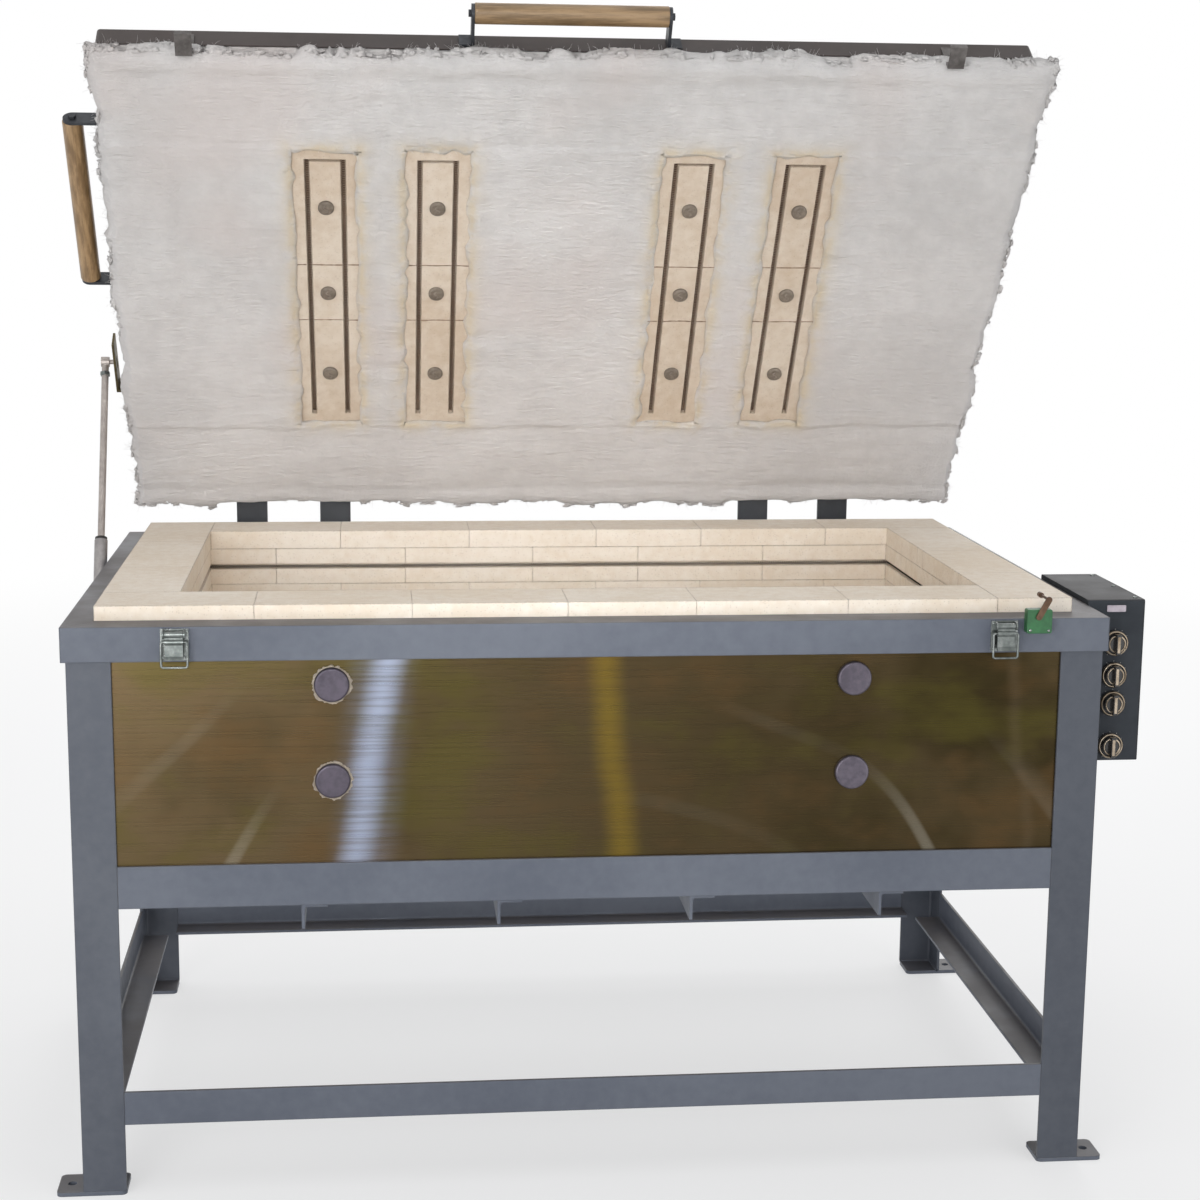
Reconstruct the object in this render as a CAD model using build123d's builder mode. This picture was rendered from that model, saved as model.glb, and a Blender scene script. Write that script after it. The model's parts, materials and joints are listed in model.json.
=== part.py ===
# A floor-standing glass fusing kiln: an angle-iron stand carries a firebrick chamber, and a
# fibre-lined lid swings up on rear hinges, held by one gas spring at the left.
# Millimetres. X is to the right, Y to the rear, Z up. The origin is on the floor, in the middle of
# the four bolt holes of the feet. The lid is drawn open, as it stands while the kiln is loaded.

import os
from math import atan2, copysign, cos, degrees, dist, radians, sin

from build123d import *

os.makedirs("parts", exist_ok=True)

# Firebricks and the joints between them
brick_length = 228.6
brick_width = 114.3
brick_height = 63.5
split_height = 31.75
mortar = 0.6

# The chamber inside the brick walls
chamber_width = 1219.2
chamber_depth = 609.6
wall_courses = 5
groove_height = 8.0
groove_depth = 14.0
element_radius = 3.0
element_clearance = 0.3

# The rim round the top of the stand
rim_top = 863.0
rim_height = 50.8
rim_wall = 6.4
rim_clearance = 1.0
front_ledge = 52.0
rear_ledge = 29.8
side_ledge = 42.1
brick_rise = 21.25

# Legs, rails and feet, all of rolled angle
leg_size = 63.5
angle_wall = 4.8
angle_root = 4.5
weld_gap = 0.3
rail_size = 63.5
stretcher_size = 50.8
stretcher_bottom = 110.5
cross_size = 38.1
cross_count = 4
cross_spacing = 288.0
foot_thickness = 6.4
foot_overhang = 39.6
foot_hole_radius = 6.5
foot_corner = 8.0

# Sheet metal and insulation of the body
panel_thickness = 1.5
pan_thickness = 1.5
floor_board_height = 21.2
sheet_clearance = 1.0

# Peepholes and their plugs
peephole_radius = 13.5
peephole_x = 384.0
peephole_drops = (232.0, 89.0)
plug_stem_radius = 12.5
plug_tip_radius = 11.0
plug_stem_length = 140.0
plug_cap_radius = 25.5
plug_cap_height = 8.0
plug_cap_rounding = 3.5

# Lid
lid_side_inset = 23.0
lid_front_inset = 20.0
lid_rear_overlap = 27.0
lid_seat = 0.5
lid_angle = 56.0
lid_corner = 6.0
skirt_height = 42.0
shell_wall = 2.0
blanket_proud = 25.0
blanket_overhang = 5.0

# Brick strips in the lid, with their grooves, elements and buttons
strip_centres = (-395.0, -213.0, 205.0, 390.0)
strip_bricks = (228.6, 114.3, 228.6)
strip_depth = 63.5
lid_groove_offset = 29.2
lid_groove_width = 8.0
lid_groove_depth = 12.0
lid_groove_end = 23.0
link_groove_width = 4.0
link_radius = 1.5
button_radius = 13.0
button_height = 6.0
button_rounding = 2.5
button_stem_radius = 3.0
button_clearance = 0.1

# Hinges at the rear
hinge_reach = 15.7
hinge_drop = 29.75
hinge_positions = (-546.0, -393.0, 393.0, 546.0)
post_width = 56.0
post_thickness = 8.0
post_margin = 4.0
post_arm_drop = 6.0
eye_radius = 8.0
ear_width = 8.0
ear_gap = 0.5
ear_rise = 18.0
leaf_thickness = 4.0
leaf_margin = 2.0
pin_radius = 4.0
pin_clearance = 0.05
pin_head_radius = 6.0
pin_head_height = 2.0

# Handles of the lid
grip_radius = 16.5
grip_rounding = 2.0
grip_length = 305.0
front_handle_x = -6.0
front_handle_reach = 51.0
side_handle_y = -137.0
side_handle_reach = 50.0
bracket_wall = 5.0
bracket_width = 30.0
bracket_foot = 24.0
bolt_radius = 3.0
bolt_clearance = 0.05
bolt_length = 30.0
bolt_head_radius = 6.5
bolt_head_height = 4.5

# Gas spring at the left
spring_outset = 19.0
spring_foot_y = 5.0
spring_foot_lift = 33.5
spring_hinge_distance = 308.7
spring_top_rise = 18.25
tube_radius = 11.0
tube_length = 455.0
tube_base = 40.0
tube_rounding = 2.5
rod_radius = 6.0
rod_clearance = 0.05
rod_overlap = 60.0
spring_eye_radius = 9.0
spring_eye_width = 14.0
spring_pin_radius = 4.0
spring_collar_radius = 7.0
spring_gap = 0.3
spring_plate_wall = 5.0
spring_plate_width = 50.0
spring_plate_height = 44.0
spring_plate_rounding = 6.0
lid_bracket_wall = 4.0
lid_bracket_width = 100.0
lid_bracket_height = 34.0
lid_bracket_slot_radius = 4.5
lid_bracket_slot_length = 26.0
stub_gap = 0.5

# Draw latches on the rim and their keepers on the lid
latch_x = 605.0
latch_plate_width = 40.0
latch_plate_wall = 3.0
latch_plate_margin = 2.5
latch_reach = 12.0
latch_pivot_drop = 9.0
latch_pin_radius = 2.0
latch_ear_wall = 2.5
latch_ear_radius = 6.0
latch_side_gap = 0.5
latch_fit = 0.05
lever_width = 26.0
lever_wall = 4.0
lever_boss_radius = 4.5
lever_length = 36.0
lever_tab_reach = 5.0
bail_offset = 11.0
bail_length = 37.0
bail_wire_radius = 1.75
bail_half_width = 18.5
bail_pin_depth = 3.0
bail_bend = 3.5
keeper_width = 26.0
keeper_wall = 3.0
keeper_trough = 9.0
keeper_lip = 6.0
keeper_top_margin = 16.0

# Lid switch at the front right of the rim
switch_left = 635.0
switch_width = 38.0
switch_height = 36.0
switch_top_rise = 16.0
switch_depth = 16.0
switch_rounding = 3.0
switch_pivot_x = 17.0
switch_pivot_drop = 11.0
switch_shaft_radius = 3.0
switch_shaft_depth = 8.0
switch_arm_length = 29.5
switch_arm_angle = 61.7
switch_arm_width = 9.0
switch_arm_wall = 2.5
switch_arm_gap = 0.5
switch_axle_radius = 2.0
roller_radius = 4.0
roller_length = 10.0
roller_reach = 30.0

# Control box at the right
box_width = 90.0
box_setback = 102.0
box_depth = 240.0
box_rise = 8.0
box_height = 254.0
box_wall = 2.0
box_rounding = 2.0
knob_drops = (67.0, 117.0, 162.0, 229.0)
knob_skirt_radius = 20.0
knob_skirt_height = 4.0
knob_radius = 16.0
knob_height = 20.0
knob_rounding = 1.5
knob_hub_height = 8.0
knob_grip_width = 8.0
knob_gap = 0.5
shaft_radius = 3.0
shaft_clearance = 0.05
shaft_length = 14.0
switch_body_width = 34.0
switch_body_depth = 30.0
bush_radius = 5.0
gland_radius = 13.0
gland_height = 9.0
gland_dome_radius = 10.5
gland_dome_height = 12.0
gland_bore_radius = 5.0
gland_neck_radius = 8.0

# Worked-out places of the stand and the brick block
block_width = chamber_width + 2 * brick_width
block_depth = chamber_depth + 2 * brick_width
rim_width = block_width + 2 * side_ledge
rim_depth = front_ledge + block_depth + rear_ledge
rim_x = rim_width / 2
rim_y = rim_depth / 2
rim_bottom = rim_top - rim_height
box_front = box_setback - rim_y
box_top = rim_top + box_rise
box_bottom = box_top - box_height
knob_heights = [box_top - drop for drop in knob_drops]
leg_x = rim_x - rim_wall
leg_y = rim_y - rim_wall
leg_top = rim_top - rim_wall
inner_x = leg_x - angle_wall
inner_y = leg_y - angle_wall
block_x = block_width / 2
block_front = -rim_y + front_ledge
block_rear = block_front + block_depth
block_y = (block_front + block_rear) / 2
brick_top = rim_top + brick_rise
chamber_floor = brick_top - split_height - wall_courses * brick_height
floor_brick_bottom = chamber_floor - brick_height
pan_top = floor_brick_bottom - floor_board_height
rail_bottom = pan_top - pan_thickness - angle_wall
groove_z = brick_top - split_height - brick_height / 2
panel_top = leg_top - sheet_clearance
panel_bottom = rail_bottom + 2 * angle_wall + sheet_clearance
panel_x = inner_x - angle_wall - sheet_clearance
panel_y = inner_y - angle_wall - sheet_clearance

# Worked-out places of the lid, as it lies when closed
lid_bottom = brick_top + lid_seat
skirt_bottom = lid_bottom + blanket_proud
lid_top = skirt_bottom + skirt_height
skirt_middle = skirt_bottom + skirt_height / 2
lid_front = lid_front_inset - rim_y
lid_rear = rim_y + lid_rear_overlap
lid_width = rim_width - 2 * lid_side_inset
lid_length = lid_rear - lid_front
lid_y = (lid_front + lid_rear) / 2
hinge_y = lid_rear + hinge_reach
hinge_z = lid_top - hinge_drop
strip_length = sum(strip_bricks)
strip_rear = block_y + strip_length / 2

# The turn about the hinge line that takes the closed lid to its open place
to_hinge = Location((0, hinge_y, hinge_z))
swing = to_hinge * Location((0, 0, 0), (-lid_angle, 0, 0)) * to_hinge.inverse()


def opened(plane):
    # a plane given on the closed lid, carried up with the open lid
    return Plane(swing * plane.location)


def write_piece(piece, name):
    piece.part.label = name
    export_step(piece.part, f"parts/{name}.step")


def angle_bar(plane, size, length):
    # a rolled angle: its outer corner runs along the plane's normal, its flanges along the
    # plane's two axes, with the rounded root of a rolled section
    with BuildPart() as bar:
        with BuildSketch(plane):
            with BuildLine():
                Polyline(
                    (0, 0), (size, 0), (size, angle_wall), (angle_wall, angle_wall),
                    (angle_wall, size), (0, size), close=True,
                )
            make_face()
            root = vertices().sort_by_distance((angle_wall, angle_wall))[0]
            fillet(root, angle_root)
        extrude(amount=length)
    return bar.part


def angle_frame(bottom, size):
    # four angles between the legs: upright flanges flush outside, lower flanges turned in
    reach_x = leg_x - leg_size - weld_gap
    reach_y = leg_y - leg_size - weld_gap
    with BuildPart() as frame:
        front = Plane(origin=(-reach_x, -leg_y, bottom), x_dir=(0, 1, 0), z_dir=(1, 0, 0))
        rear = Plane(origin=(reach_x, leg_y, bottom), x_dir=(0, -1, 0), z_dir=(-1, 0, 0))
        left = Plane(origin=(-leg_x, reach_y, bottom), x_dir=(1, 0, 0), z_dir=(0, -1, 0))
        right = Plane(origin=(leg_x, -reach_y, bottom), x_dir=(-1, 0, 0), z_dir=(0, 1, 0))
        add(angle_bar(front, size, 2 * reach_x))
        add(angle_bar(rear, size, 2 * reach_x))
        add(angle_bar(left, size, 2 * reach_y))
        add(angle_bar(right, size, 2 * reach_y))
    return frame


def laid(start, end, unit):
    # whole bricks from both ends of a run, with one cut brick past the middle:
    # a list of (middle, length)
    whole = int((end - start + mortar) // unit)
    rest = end - start - whole * unit
    sizes = [unit] * whole
    if rest > 2 * mortar:
        sizes.insert((whole + 1) // 2, rest)
    places = []
    for size in sizes:
        places.append((start + size / 2, size))
        start += size
    return places


# Stand: legs on their feet
for side, sx, sy in (
    ("front_left", -1, -1), ("front_right", 1, -1), ("rear_left", -1, 1), ("rear_right", 1, 1),
):
    foot_corner_plane = Plane(
        origin=(sx * leg_x, sy * leg_y, foot_thickness), x_dir=(-sx, 0, 0), z_dir=(0, 0, sx * sy)
    )
    with BuildPart() as leg:
        add(angle_bar(foot_corner_plane, leg_size, sx * sy * (leg_top - foot_thickness)))
    write_piece(leg, f"leg_{side}")

foot_length = leg_size + foot_overhang
foot_hole_x = leg_x + foot_overhang / 2
foot_hole_y = leg_y - leg_size / 2
with BuildPart() as foot_plates:
    with BuildSketch():
        with GridLocations(2 * (leg_x + foot_overhang) - foot_length, 2 * foot_hole_y, 2, 2):
            RectangleRounded(foot_length, leg_size, foot_corner)
        with GridLocations(2 * foot_hole_x, 2 * foot_hole_y, 2, 2):
            Circle(foot_hole_radius, mode=Mode.SUBTRACT)
    extrude(amount=foot_thickness)
write_piece(foot_plates, "foot_plates")

# Stand: rails under the body, low stretchers and cross members
belly_rails = angle_frame(rail_bottom, rail_size)
write_piece(belly_rails, "belly_rails")
stretchers = angle_frame(stretcher_bottom, stretcher_size)
write_piece(stretchers, "stretchers")

with BuildPart() as cross_members:
    for i in range(cross_count):
        cross_x = (i - (cross_count - 1) / 2) * cross_spacing
        add(angle_bar(
            Plane(origin=(cross_x, -inner_y, rail_bottom), x_dir=(1, 0, 0), z_dir=(0, 1, 0)),
            cross_size, 2 * inner_y,
        ))
write_piece(cross_members, "cross_members")

# Rim: one ring of angle, cut into four bars along mitre lines that run in from its corners
mitre = rim_y / 2
outer_corners = [(-rim_x, -rim_y), (rim_x, -rim_y), (rim_x, rim_y), (-rim_x, rim_y)]
mitre_corners = [(x - copysign(mitre, x), y - copysign(mitre, y)) for x, y in outer_corners]
for i, side in enumerate(("front", "right", "rear", "left")):
    after = (i + 1) % len(outer_corners)
    with BuildPart() as rim_bar:
        with BuildSketch(Plane.XY.offset(rim_bottom)):
            Rectangle(rim_width, rim_depth)
            Rectangle(2 * leg_x, 2 * leg_y, mode=Mode.SUBTRACT)
        extrude(amount=rim_height)
        with BuildSketch(Plane.XY.offset(leg_top)):
            Rectangle(rim_width, rim_depth)
            with Locations((0, block_y)):
                Rectangle(
                    block_width + 2 * rim_clearance, block_depth + 2 * rim_clearance,
                    mode=Mode.SUBTRACT,
                )
        extrude(amount=rim_wall)
        with BuildSketch(Plane.XY.offset(rim_bottom)):
            with BuildLine():
                Polyline(
                    outer_corners[i], outer_corners[after],
                    mitre_corners[after], mitre_corners[i], close=True,
                )
            make_face()
        extrude(amount=rim_height, mode=Mode.INTERSECT)
    write_piece(rim_bar, f"rim_{side}")

# Body: floor pan, outer panels, insulation
with BuildPart() as floor_pan:
    with BuildSketch(Plane.XY.offset(pan_top - pan_thickness)):
        Rectangle(2 * panel_x, 2 * panel_y)
    extrude(amount=pan_thickness)
write_piece(floor_pan, "floor_pan")

peepholes = [(x, rim_top - drop) for drop in peephole_drops for x in (-peephole_x, peephole_x)]
panel_middle = (panel_bottom + panel_top) / 2
panel_height = panel_top - panel_bottom
lining_middle = (pan_top + panel_top) / 2
lining_height = panel_top - pan_top
with BuildPart() as panel_front:
    with BuildSketch(Plane.XZ.offset(inner_y)):
        with Locations((0, panel_middle)):
            Rectangle(2 * panel_x, panel_height)
        with Locations(*peepholes):
            Circle(peephole_radius, mode=Mode.SUBTRACT)
    extrude(amount=-panel_thickness)
write_piece(panel_front, "panel_front")

with BuildPart() as panel_rear:
    with BuildSketch(Plane.XZ.offset(-inner_y)):
        with Locations((0, panel_middle)):
            Rectangle(2 * panel_x, panel_height)
    extrude(amount=panel_thickness)
write_piece(panel_rear, "panel_rear")

with BuildPart() as side_panels:
    for side in (-1, 1):
        with BuildSketch(Plane.YZ.offset(side * inner_x)):
            with Locations((0, panel_middle)):
                Rectangle(2 * panel_y, panel_height)
        extrude(amount=-side * panel_thickness)
write_piece(side_panels, "side_panels")

lining_front = -inner_y + panel_thickness
lining_rear = inner_y - panel_thickness
lining_x = inner_x - panel_thickness
with BuildPart() as backup_insulation:
    with BuildSketch(Plane.XZ.offset(-block_front)):
        with Locations((0, lining_middle)):
            Rectangle(2 * panel_x, lining_height)
        with Locations(*peepholes):
            Circle(peephole_radius, mode=Mode.SUBTRACT)
    extrude(amount=block_front - lining_front)
    with BuildSketch(Plane.XZ.offset(-block_rear)):
        with Locations((0, lining_middle)):
            Rectangle(2 * panel_x, lining_height)
    extrude(amount=block_rear - lining_rear)
    for side in (-1, 1):
        with BuildSketch(Plane.YZ.offset(side * block_x)):
            with Locations((block_y, lining_middle)):
                Rectangle(block_depth - 2 * sheet_clearance, lining_height)
        extrude(amount=side * (lining_x - block_x))
    with BuildSketch(Plane.XY.offset(pan_top)):
        with Locations((0, block_y)):
            Rectangle(block_width - 2 * sheet_clearance, block_depth - 2 * sheet_clearance)
    extrude(amount=floor_board_height)
write_piece(backup_insulation, "backup_insulation")

# Body: floor of bricks laid flat, every second row begun from the other end
with BuildPart() as floor_bricks:
    for row, (row_y, row_width) in enumerate(laid(block_front, block_rear, brick_width)):
        turned = row % 2
        first = -block_x + turned * brick_width
        places = laid(first, block_x, brick_length)
        if turned:
            places.append((-block_x + brick_width / 2, brick_width))
        with BuildSketch(Plane.XY.offset(floor_brick_bottom)):
            for brick_x, length in places:
                with Locations((brick_x, row_y)):
                    Rectangle(length - mortar, row_width - mortar)
        extrude(amount=brick_height - mortar)
write_piece(floor_bricks, "floor_bricks")

# Body: brick walls. Each course runs round the chamber like a pinwheel, each second one the
# other way round, and a thin course closes the top.
courses = [(chamber_floor + i * brick_height, brick_height) for i in range(wall_courses)]
courses.append((chamber_floor + wall_courses * brick_height, split_height))
groove_plane = Plane.XY.offset(groove_z - groove_height / 2)
for side in ("front", "rear", "left", "right"):
    with BuildPart() as wall:
        for i, (course_z, course_height) in enumerate(courses):
            # a run stops a brick's width short at the end where the next wall comes through
            clockwise = (len(courses) - 1 - i) % 2 == 1
            short_start = (side in ("rear", "left")) != clockwise
            if side in ("front", "rear"):
                start = -block_x + brick_width * short_start
                end = block_x - brick_width * (not short_start)
            else:
                start = block_front + brick_width * short_start
                end = block_rear - brick_width * (not short_start)
            middle = {
                "front": block_front + brick_width / 2, "rear": block_rear - brick_width / 2,
                "left": brick_width / 2 - block_x, "right": block_x - brick_width / 2,
            }[side]
            with BuildSketch(Plane.XY.offset(course_z + mortar)):
                for along, length in laid(start, end, brick_length):
                    if side in ("front", "rear"):
                        with Locations((along, middle)):
                            Rectangle(length - mortar, brick_width)
                    else:
                        with Locations((middle, along)):
                            Rectangle(brick_width, length - mortar)
            extrude(amount=course_height - mortar)
        with BuildSketch(groove_plane):
            with Locations((0, block_y)):
                Rectangle(chamber_width + 2 * groove_depth, chamber_depth + 2 * groove_depth)
        extrude(amount=groove_height, mode=Mode.SUBTRACT)
        if side == "front":
            with BuildSketch(Plane.XZ.offset(-block_front)):
                with Locations(*peepholes):
                    Circle(peephole_radius)
            extrude(amount=-brick_width, mode=Mode.SUBTRACT)
    write_piece(wall, f"wall_bricks_{side}")

# The wall element: one rod that lies in the groove all round
element_half_x = chamber_width / 2 + groove_depth / 2
element_front = block_y - chamber_depth / 2 - groove_depth / 2
element_rear = block_y + chamber_depth / 2 + groove_depth / 2
element_z = groove_z - groove_height / 2 + element_clearance + element_radius
with BuildPart() as wall_element:
    with BuildLine(Plane.XY.offset(element_z)):
        FilletPolyline(
            (-element_half_x, element_front), (element_half_x, element_front),
            (element_half_x, element_rear), (-element_half_x, element_rear),
            radius=groove_depth / 2, close=True,
        )
    with BuildSketch(Plane(origin=(0, element_front, element_z), z_dir=(1, 0, 0))):
        Circle(element_radius)
    sweep()
write_piece(wall_element, "wall_element")

# Peephole plugs: a tapered stem behind a domed cap
plug_number = 0
for plug_x, plug_z in peepholes:
    plug_number += 1
    plug_face = Plane(origin=(plug_x, -inner_y, plug_z), z_dir=(0, 1, 0))
    with BuildPart() as plug:
        with BuildSketch(plug_face):
            Circle(plug_stem_radius)
        with BuildSketch(plug_face.offset(plug_stem_length)):
            Circle(plug_tip_radius)
        loft()
        with BuildSketch(plug_face):
            Circle(plug_cap_radius)
        extrude(amount=-plug_cap_height)
        cap_rim = edges().filter_by(GeomType.CIRCLE).group_by(Axis.Y)[0]
        fillet(cap_rim, plug_cap_rounding)
    write_piece(plug, f"peep_plug_{plug_number}")

# Lid: folded sheet shell
with BuildPart() as lid_shell:
    with BuildSketch(opened(Plane.XY.offset(skirt_bottom))):
        with Locations((0, lid_y)):
            RectangleRounded(lid_width, lid_length, lid_corner)
    extrude(amount=skirt_height)
    with BuildSketch(opened(Plane.XY.offset(skirt_bottom))):
        with Locations((0, lid_y)):
            RectangleRounded(
                lid_width - 2 * shell_wall, lid_length - 2 * shell_wall, lid_corner - shell_wall
            )
    extrude(amount=skirt_height - shell_wall, mode=Mode.SUBTRACT)
write_piece(lid_shell, "lid_shell")

# Lid: fibre blanket that fills the shell and stands proud of it, with a pocket for each strip
with BuildPart() as lid_blanket:
    with BuildSketch(opened(Plane.XY.offset(skirt_bottom))):
        with Locations((0, lid_y)):
            RectangleRounded(
                lid_width - 2 * shell_wall, lid_length - 2 * shell_wall, lid_corner - shell_wall
            )
    extrude(amount=skirt_height - shell_wall)
    with BuildSketch(opened(Plane.XY.offset(lid_bottom))):
        with Locations((0, lid_y)):
            RectangleRounded(lid_width + 2 * blanket_overhang, lid_length, lid_corner)
    extrude(amount=blanket_proud)
    with BuildSketch(opened(Plane.XY.offset(lid_bottom))):
        for strip_x in strip_centres:
            with Locations((strip_x, block_y)):
                Rectangle(brick_width, strip_length)
    extrude(amount=strip_depth, mode=Mode.SUBTRACT)
    with BuildSketch(opened(Plane.XY.offset(lid_bottom))):
        for strip_x in strip_centres:
            button_y = strip_rear
            for brick in strip_bricks:
                with Locations((strip_x, button_y - brick / 2)):
                    Circle(button_stem_radius + button_clearance)
                button_y -= brick
    extrude(amount=lid_top - lid_bottom, mode=Mode.SUBTRACT)
write_piece(lid_blanket, "lid_blanket")

# Lid: strips of three bricks, with two grooves along each, a narrow groove that joins them at the
# front, and a hole in each brick for its button
button_places = []
brick_places = []
for strip_x in strip_centres:
    brick_rear = strip_rear
    for brick in strip_bricks:
        brick_places.append((strip_x, brick_rear - brick / 2, brick))
        button_places.append((strip_x, brick_rear - brick / 2))
        brick_rear -= brick
groove_length = strip_length - 2 * lid_groove_end
groove_places = [
    (strip_x + offset_x, block_y)
    for strip_x in strip_centres
    for offset_x in (-lid_groove_offset, lid_groove_offset)
]
link_y = block_y - groove_length / 2 + link_groove_width / 2
with BuildPart() as lid_bricks:
    with BuildSketch(opened(Plane.XY.offset(lid_bottom))):
        for brick_x, brick_y, length in brick_places:
            with Locations((brick_x, brick_y)):
                Rectangle(brick_width, length - mortar)
        with Locations(*button_places):
            Circle(button_stem_radius + button_clearance, mode=Mode.SUBTRACT)
    extrude(amount=strip_depth)
    with BuildSketch(opened(Plane.XY.offset(lid_bottom))):
        with Locations(*groove_places):
            Rectangle(lid_groove_width, groove_length)
        for strip_x in strip_centres:
            with Locations((strip_x, link_y)):
                Rectangle(2 * lid_groove_offset, link_groove_width)
    extrude(amount=lid_groove_depth, mode=Mode.SUBTRACT)
write_piece(lid_bricks, "lid_bricks")

# Lid: straight element runs, one in each groove, joined in pairs by a thin link at the front
run_length = groove_length - 2 * element_clearance
with BuildPart() as lid_elements:
    with BuildSketch(opened(Plane.XZ.offset(-block_y - run_length / 2))):
        run_z = lid_bottom + lid_groove_depth - element_clearance - element_radius
        with Locations(*[(run_x, run_z) for run_x, run_y in groove_places]):
            Circle(element_radius)
    extrude(amount=run_length)
    for strip_x in strip_centres:
        with BuildSketch(opened(Plane.YZ.offset(strip_x - lid_groove_offset))):
            with Locations((link_y, run_z)):
                Circle(link_radius)
        extrude(amount=2 * lid_groove_offset)
write_piece(lid_elements, "lid_elements")

# Lid: ceramic buttons, each with a stem through its brick to the shell
with BuildPart() as lid_buttons:
    for button_x, button_y in button_places:
        with BuildSketch(opened(Plane.XZ.offset(-button_y))):
            with BuildLine():
                Polyline(
                    (button_x, lid_bottom - button_height),
                    (button_x + button_radius - button_rounding, lid_bottom - button_height),
                    (button_x + button_radius, lid_bottom - button_height + button_rounding),
                    (button_x + button_radius, lid_bottom),
                    (button_x + button_stem_radius, lid_bottom),
                    (button_x + button_stem_radius, lid_top - shell_wall),
                    (button_x, lid_top - shell_wall), close=True,
                )
            make_face()
        button_face = opened(Plane(origin=(button_x, button_y, lid_bottom)))
        revolve(axis=Axis(button_face.origin, button_face.z_dir))
write_piece(lid_buttons, "lid_buttons")

# Hinges: posts welded on the rear of the rim
arm_z = rim_top - post_arm_drop
with BuildPart() as hinge_posts:
    for post_x in hinge_positions:
        with BuildSketch(Plane.YZ.offset(post_x - post_width / 2)):
            with BuildLine():
                Polyline(
                    (rim_y, rim_bottom + post_margin),
                    (rim_y + post_thickness, rim_bottom + post_margin),
                    (rim_y + post_thickness, arm_z - post_thickness),
                    (hinge_y + post_thickness / 2, arm_z - post_thickness),
                    (hinge_y + post_thickness / 2, hinge_z),
                    (hinge_y - post_thickness / 2, hinge_z),
                    (hinge_y - post_thickness / 2, arm_z),
                    (rim_y, arm_z), close=True,
                )
            make_face()
            with Locations((hinge_y, hinge_z)):
                Circle(eye_radius)
                Circle(pin_radius + pin_clearance, mode=Mode.SUBTRACT)
        extrude(amount=post_width)
write_piece(hinge_posts, "hinge_posts")

# Hinges: leaves on the rear skirt of the lid, with an ear each side of the post
leaf_rear = lid_rear + leaf_thickness
ear_start = post_width / 2 + ear_gap
leaf_width = 2 * (ear_start + ear_width)
with BuildPart() as hinge_leaves:
    for leaf_x in hinge_positions:
        with BuildSketch(opened(Plane.YZ.offset(leaf_x - leaf_width / 2))):
            with Locations((lid_rear + leaf_thickness / 2, skirt_middle)):
                Rectangle(leaf_thickness, skirt_height - 2 * leaf_margin)
        extrude(amount=leaf_width)
        for ear_x in (leaf_x - leaf_width / 2, leaf_x + ear_start):
            with BuildSketch(opened(Plane.YZ.offset(ear_x))):
                with BuildLine():
                    Polyline(
                        (leaf_rear, hinge_z - eye_radius), (hinge_y, hinge_z - eye_radius),
                        (hinge_y, hinge_z + eye_radius), (leaf_rear, hinge_z + ear_rise),
                        close=True,
                    )
                make_face()
                with Locations((hinge_y, hinge_z)):
                    Circle(eye_radius)
                    Circle(pin_radius + pin_clearance, mode=Mode.SUBTRACT)
            extrude(amount=ear_width)
write_piece(hinge_leaves, "hinge_leaves")

with BuildPart() as hinge_pins:
    for pin_x in hinge_positions:
        pin_end = Plane.YZ.offset(pin_x - leaf_width / 2)
        with BuildSketch(pin_end):
            with Locations((hinge_y, hinge_z)):
                Circle(pin_radius)
        extrude(amount=leaf_width)
        with BuildSketch(pin_end, pin_end.offset(leaf_width + pin_head_height)):
            with Locations((hinge_y, hinge_z)):
                Circle(pin_head_radius)
        extrude(amount=-pin_head_height)
write_piece(hinge_pins, "hinge_pins")


# Handles: a grip between two bent brackets. The mount plane lies on the skirt at the middle of
# the handle, its X along the grip and its Z away from the skirt.
def handle_brackets(mount, reach):
    with BuildPart() as brackets:
        for end in (-1, 1):
            arm_start = end * grip_length / 2
            arm_plane = Plane(
                origin=mount.from_local_coords((arm_start, 0, 0)),
                x_dir=mount.z_dir, z_dir=mount.x_dir,
            )
            with BuildSketch(arm_plane):
                with Locations((reach / 2, 0)):
                    Rectangle(reach, bracket_width)
                with Locations((reach, 0)):
                    Circle(bracket_width / 2)
                    Circle(bolt_radius + bolt_clearance, mode=Mode.SUBTRACT)
            extrude(amount=end * bracket_wall)
            with BuildSketch(mount):
                with Locations((arm_start + end * bracket_foot / 2, 0)):
                    Rectangle(bracket_foot, bracket_width)
            extrude(amount=bracket_wall)
    return brackets


def handle_grip(mount, reach):
    with BuildPart() as grip:
        grip_end = Plane(
            origin=mount.from_local_coords((-grip_length / 2, 0, reach)),
            x_dir=mount.z_dir, z_dir=mount.x_dir,
        )
        with BuildSketch(grip_end):
            Circle(grip_radius)
        extrude(amount=grip_length)
        fillet(grip.edges().filter_by(GeomType.CIRCLE), grip_rounding)
        bore_depth = bolt_length - bracket_wall + sheet_clearance
        with BuildSketch(grip_end):
            Circle(bolt_radius + bolt_clearance)
        extrude(amount=bore_depth, mode=Mode.SUBTRACT)
        with BuildSketch(grip_end.offset(grip_length)):
            Circle(bolt_radius + bolt_clearance)
        extrude(amount=-bore_depth, mode=Mode.SUBTRACT)
    return grip


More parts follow.
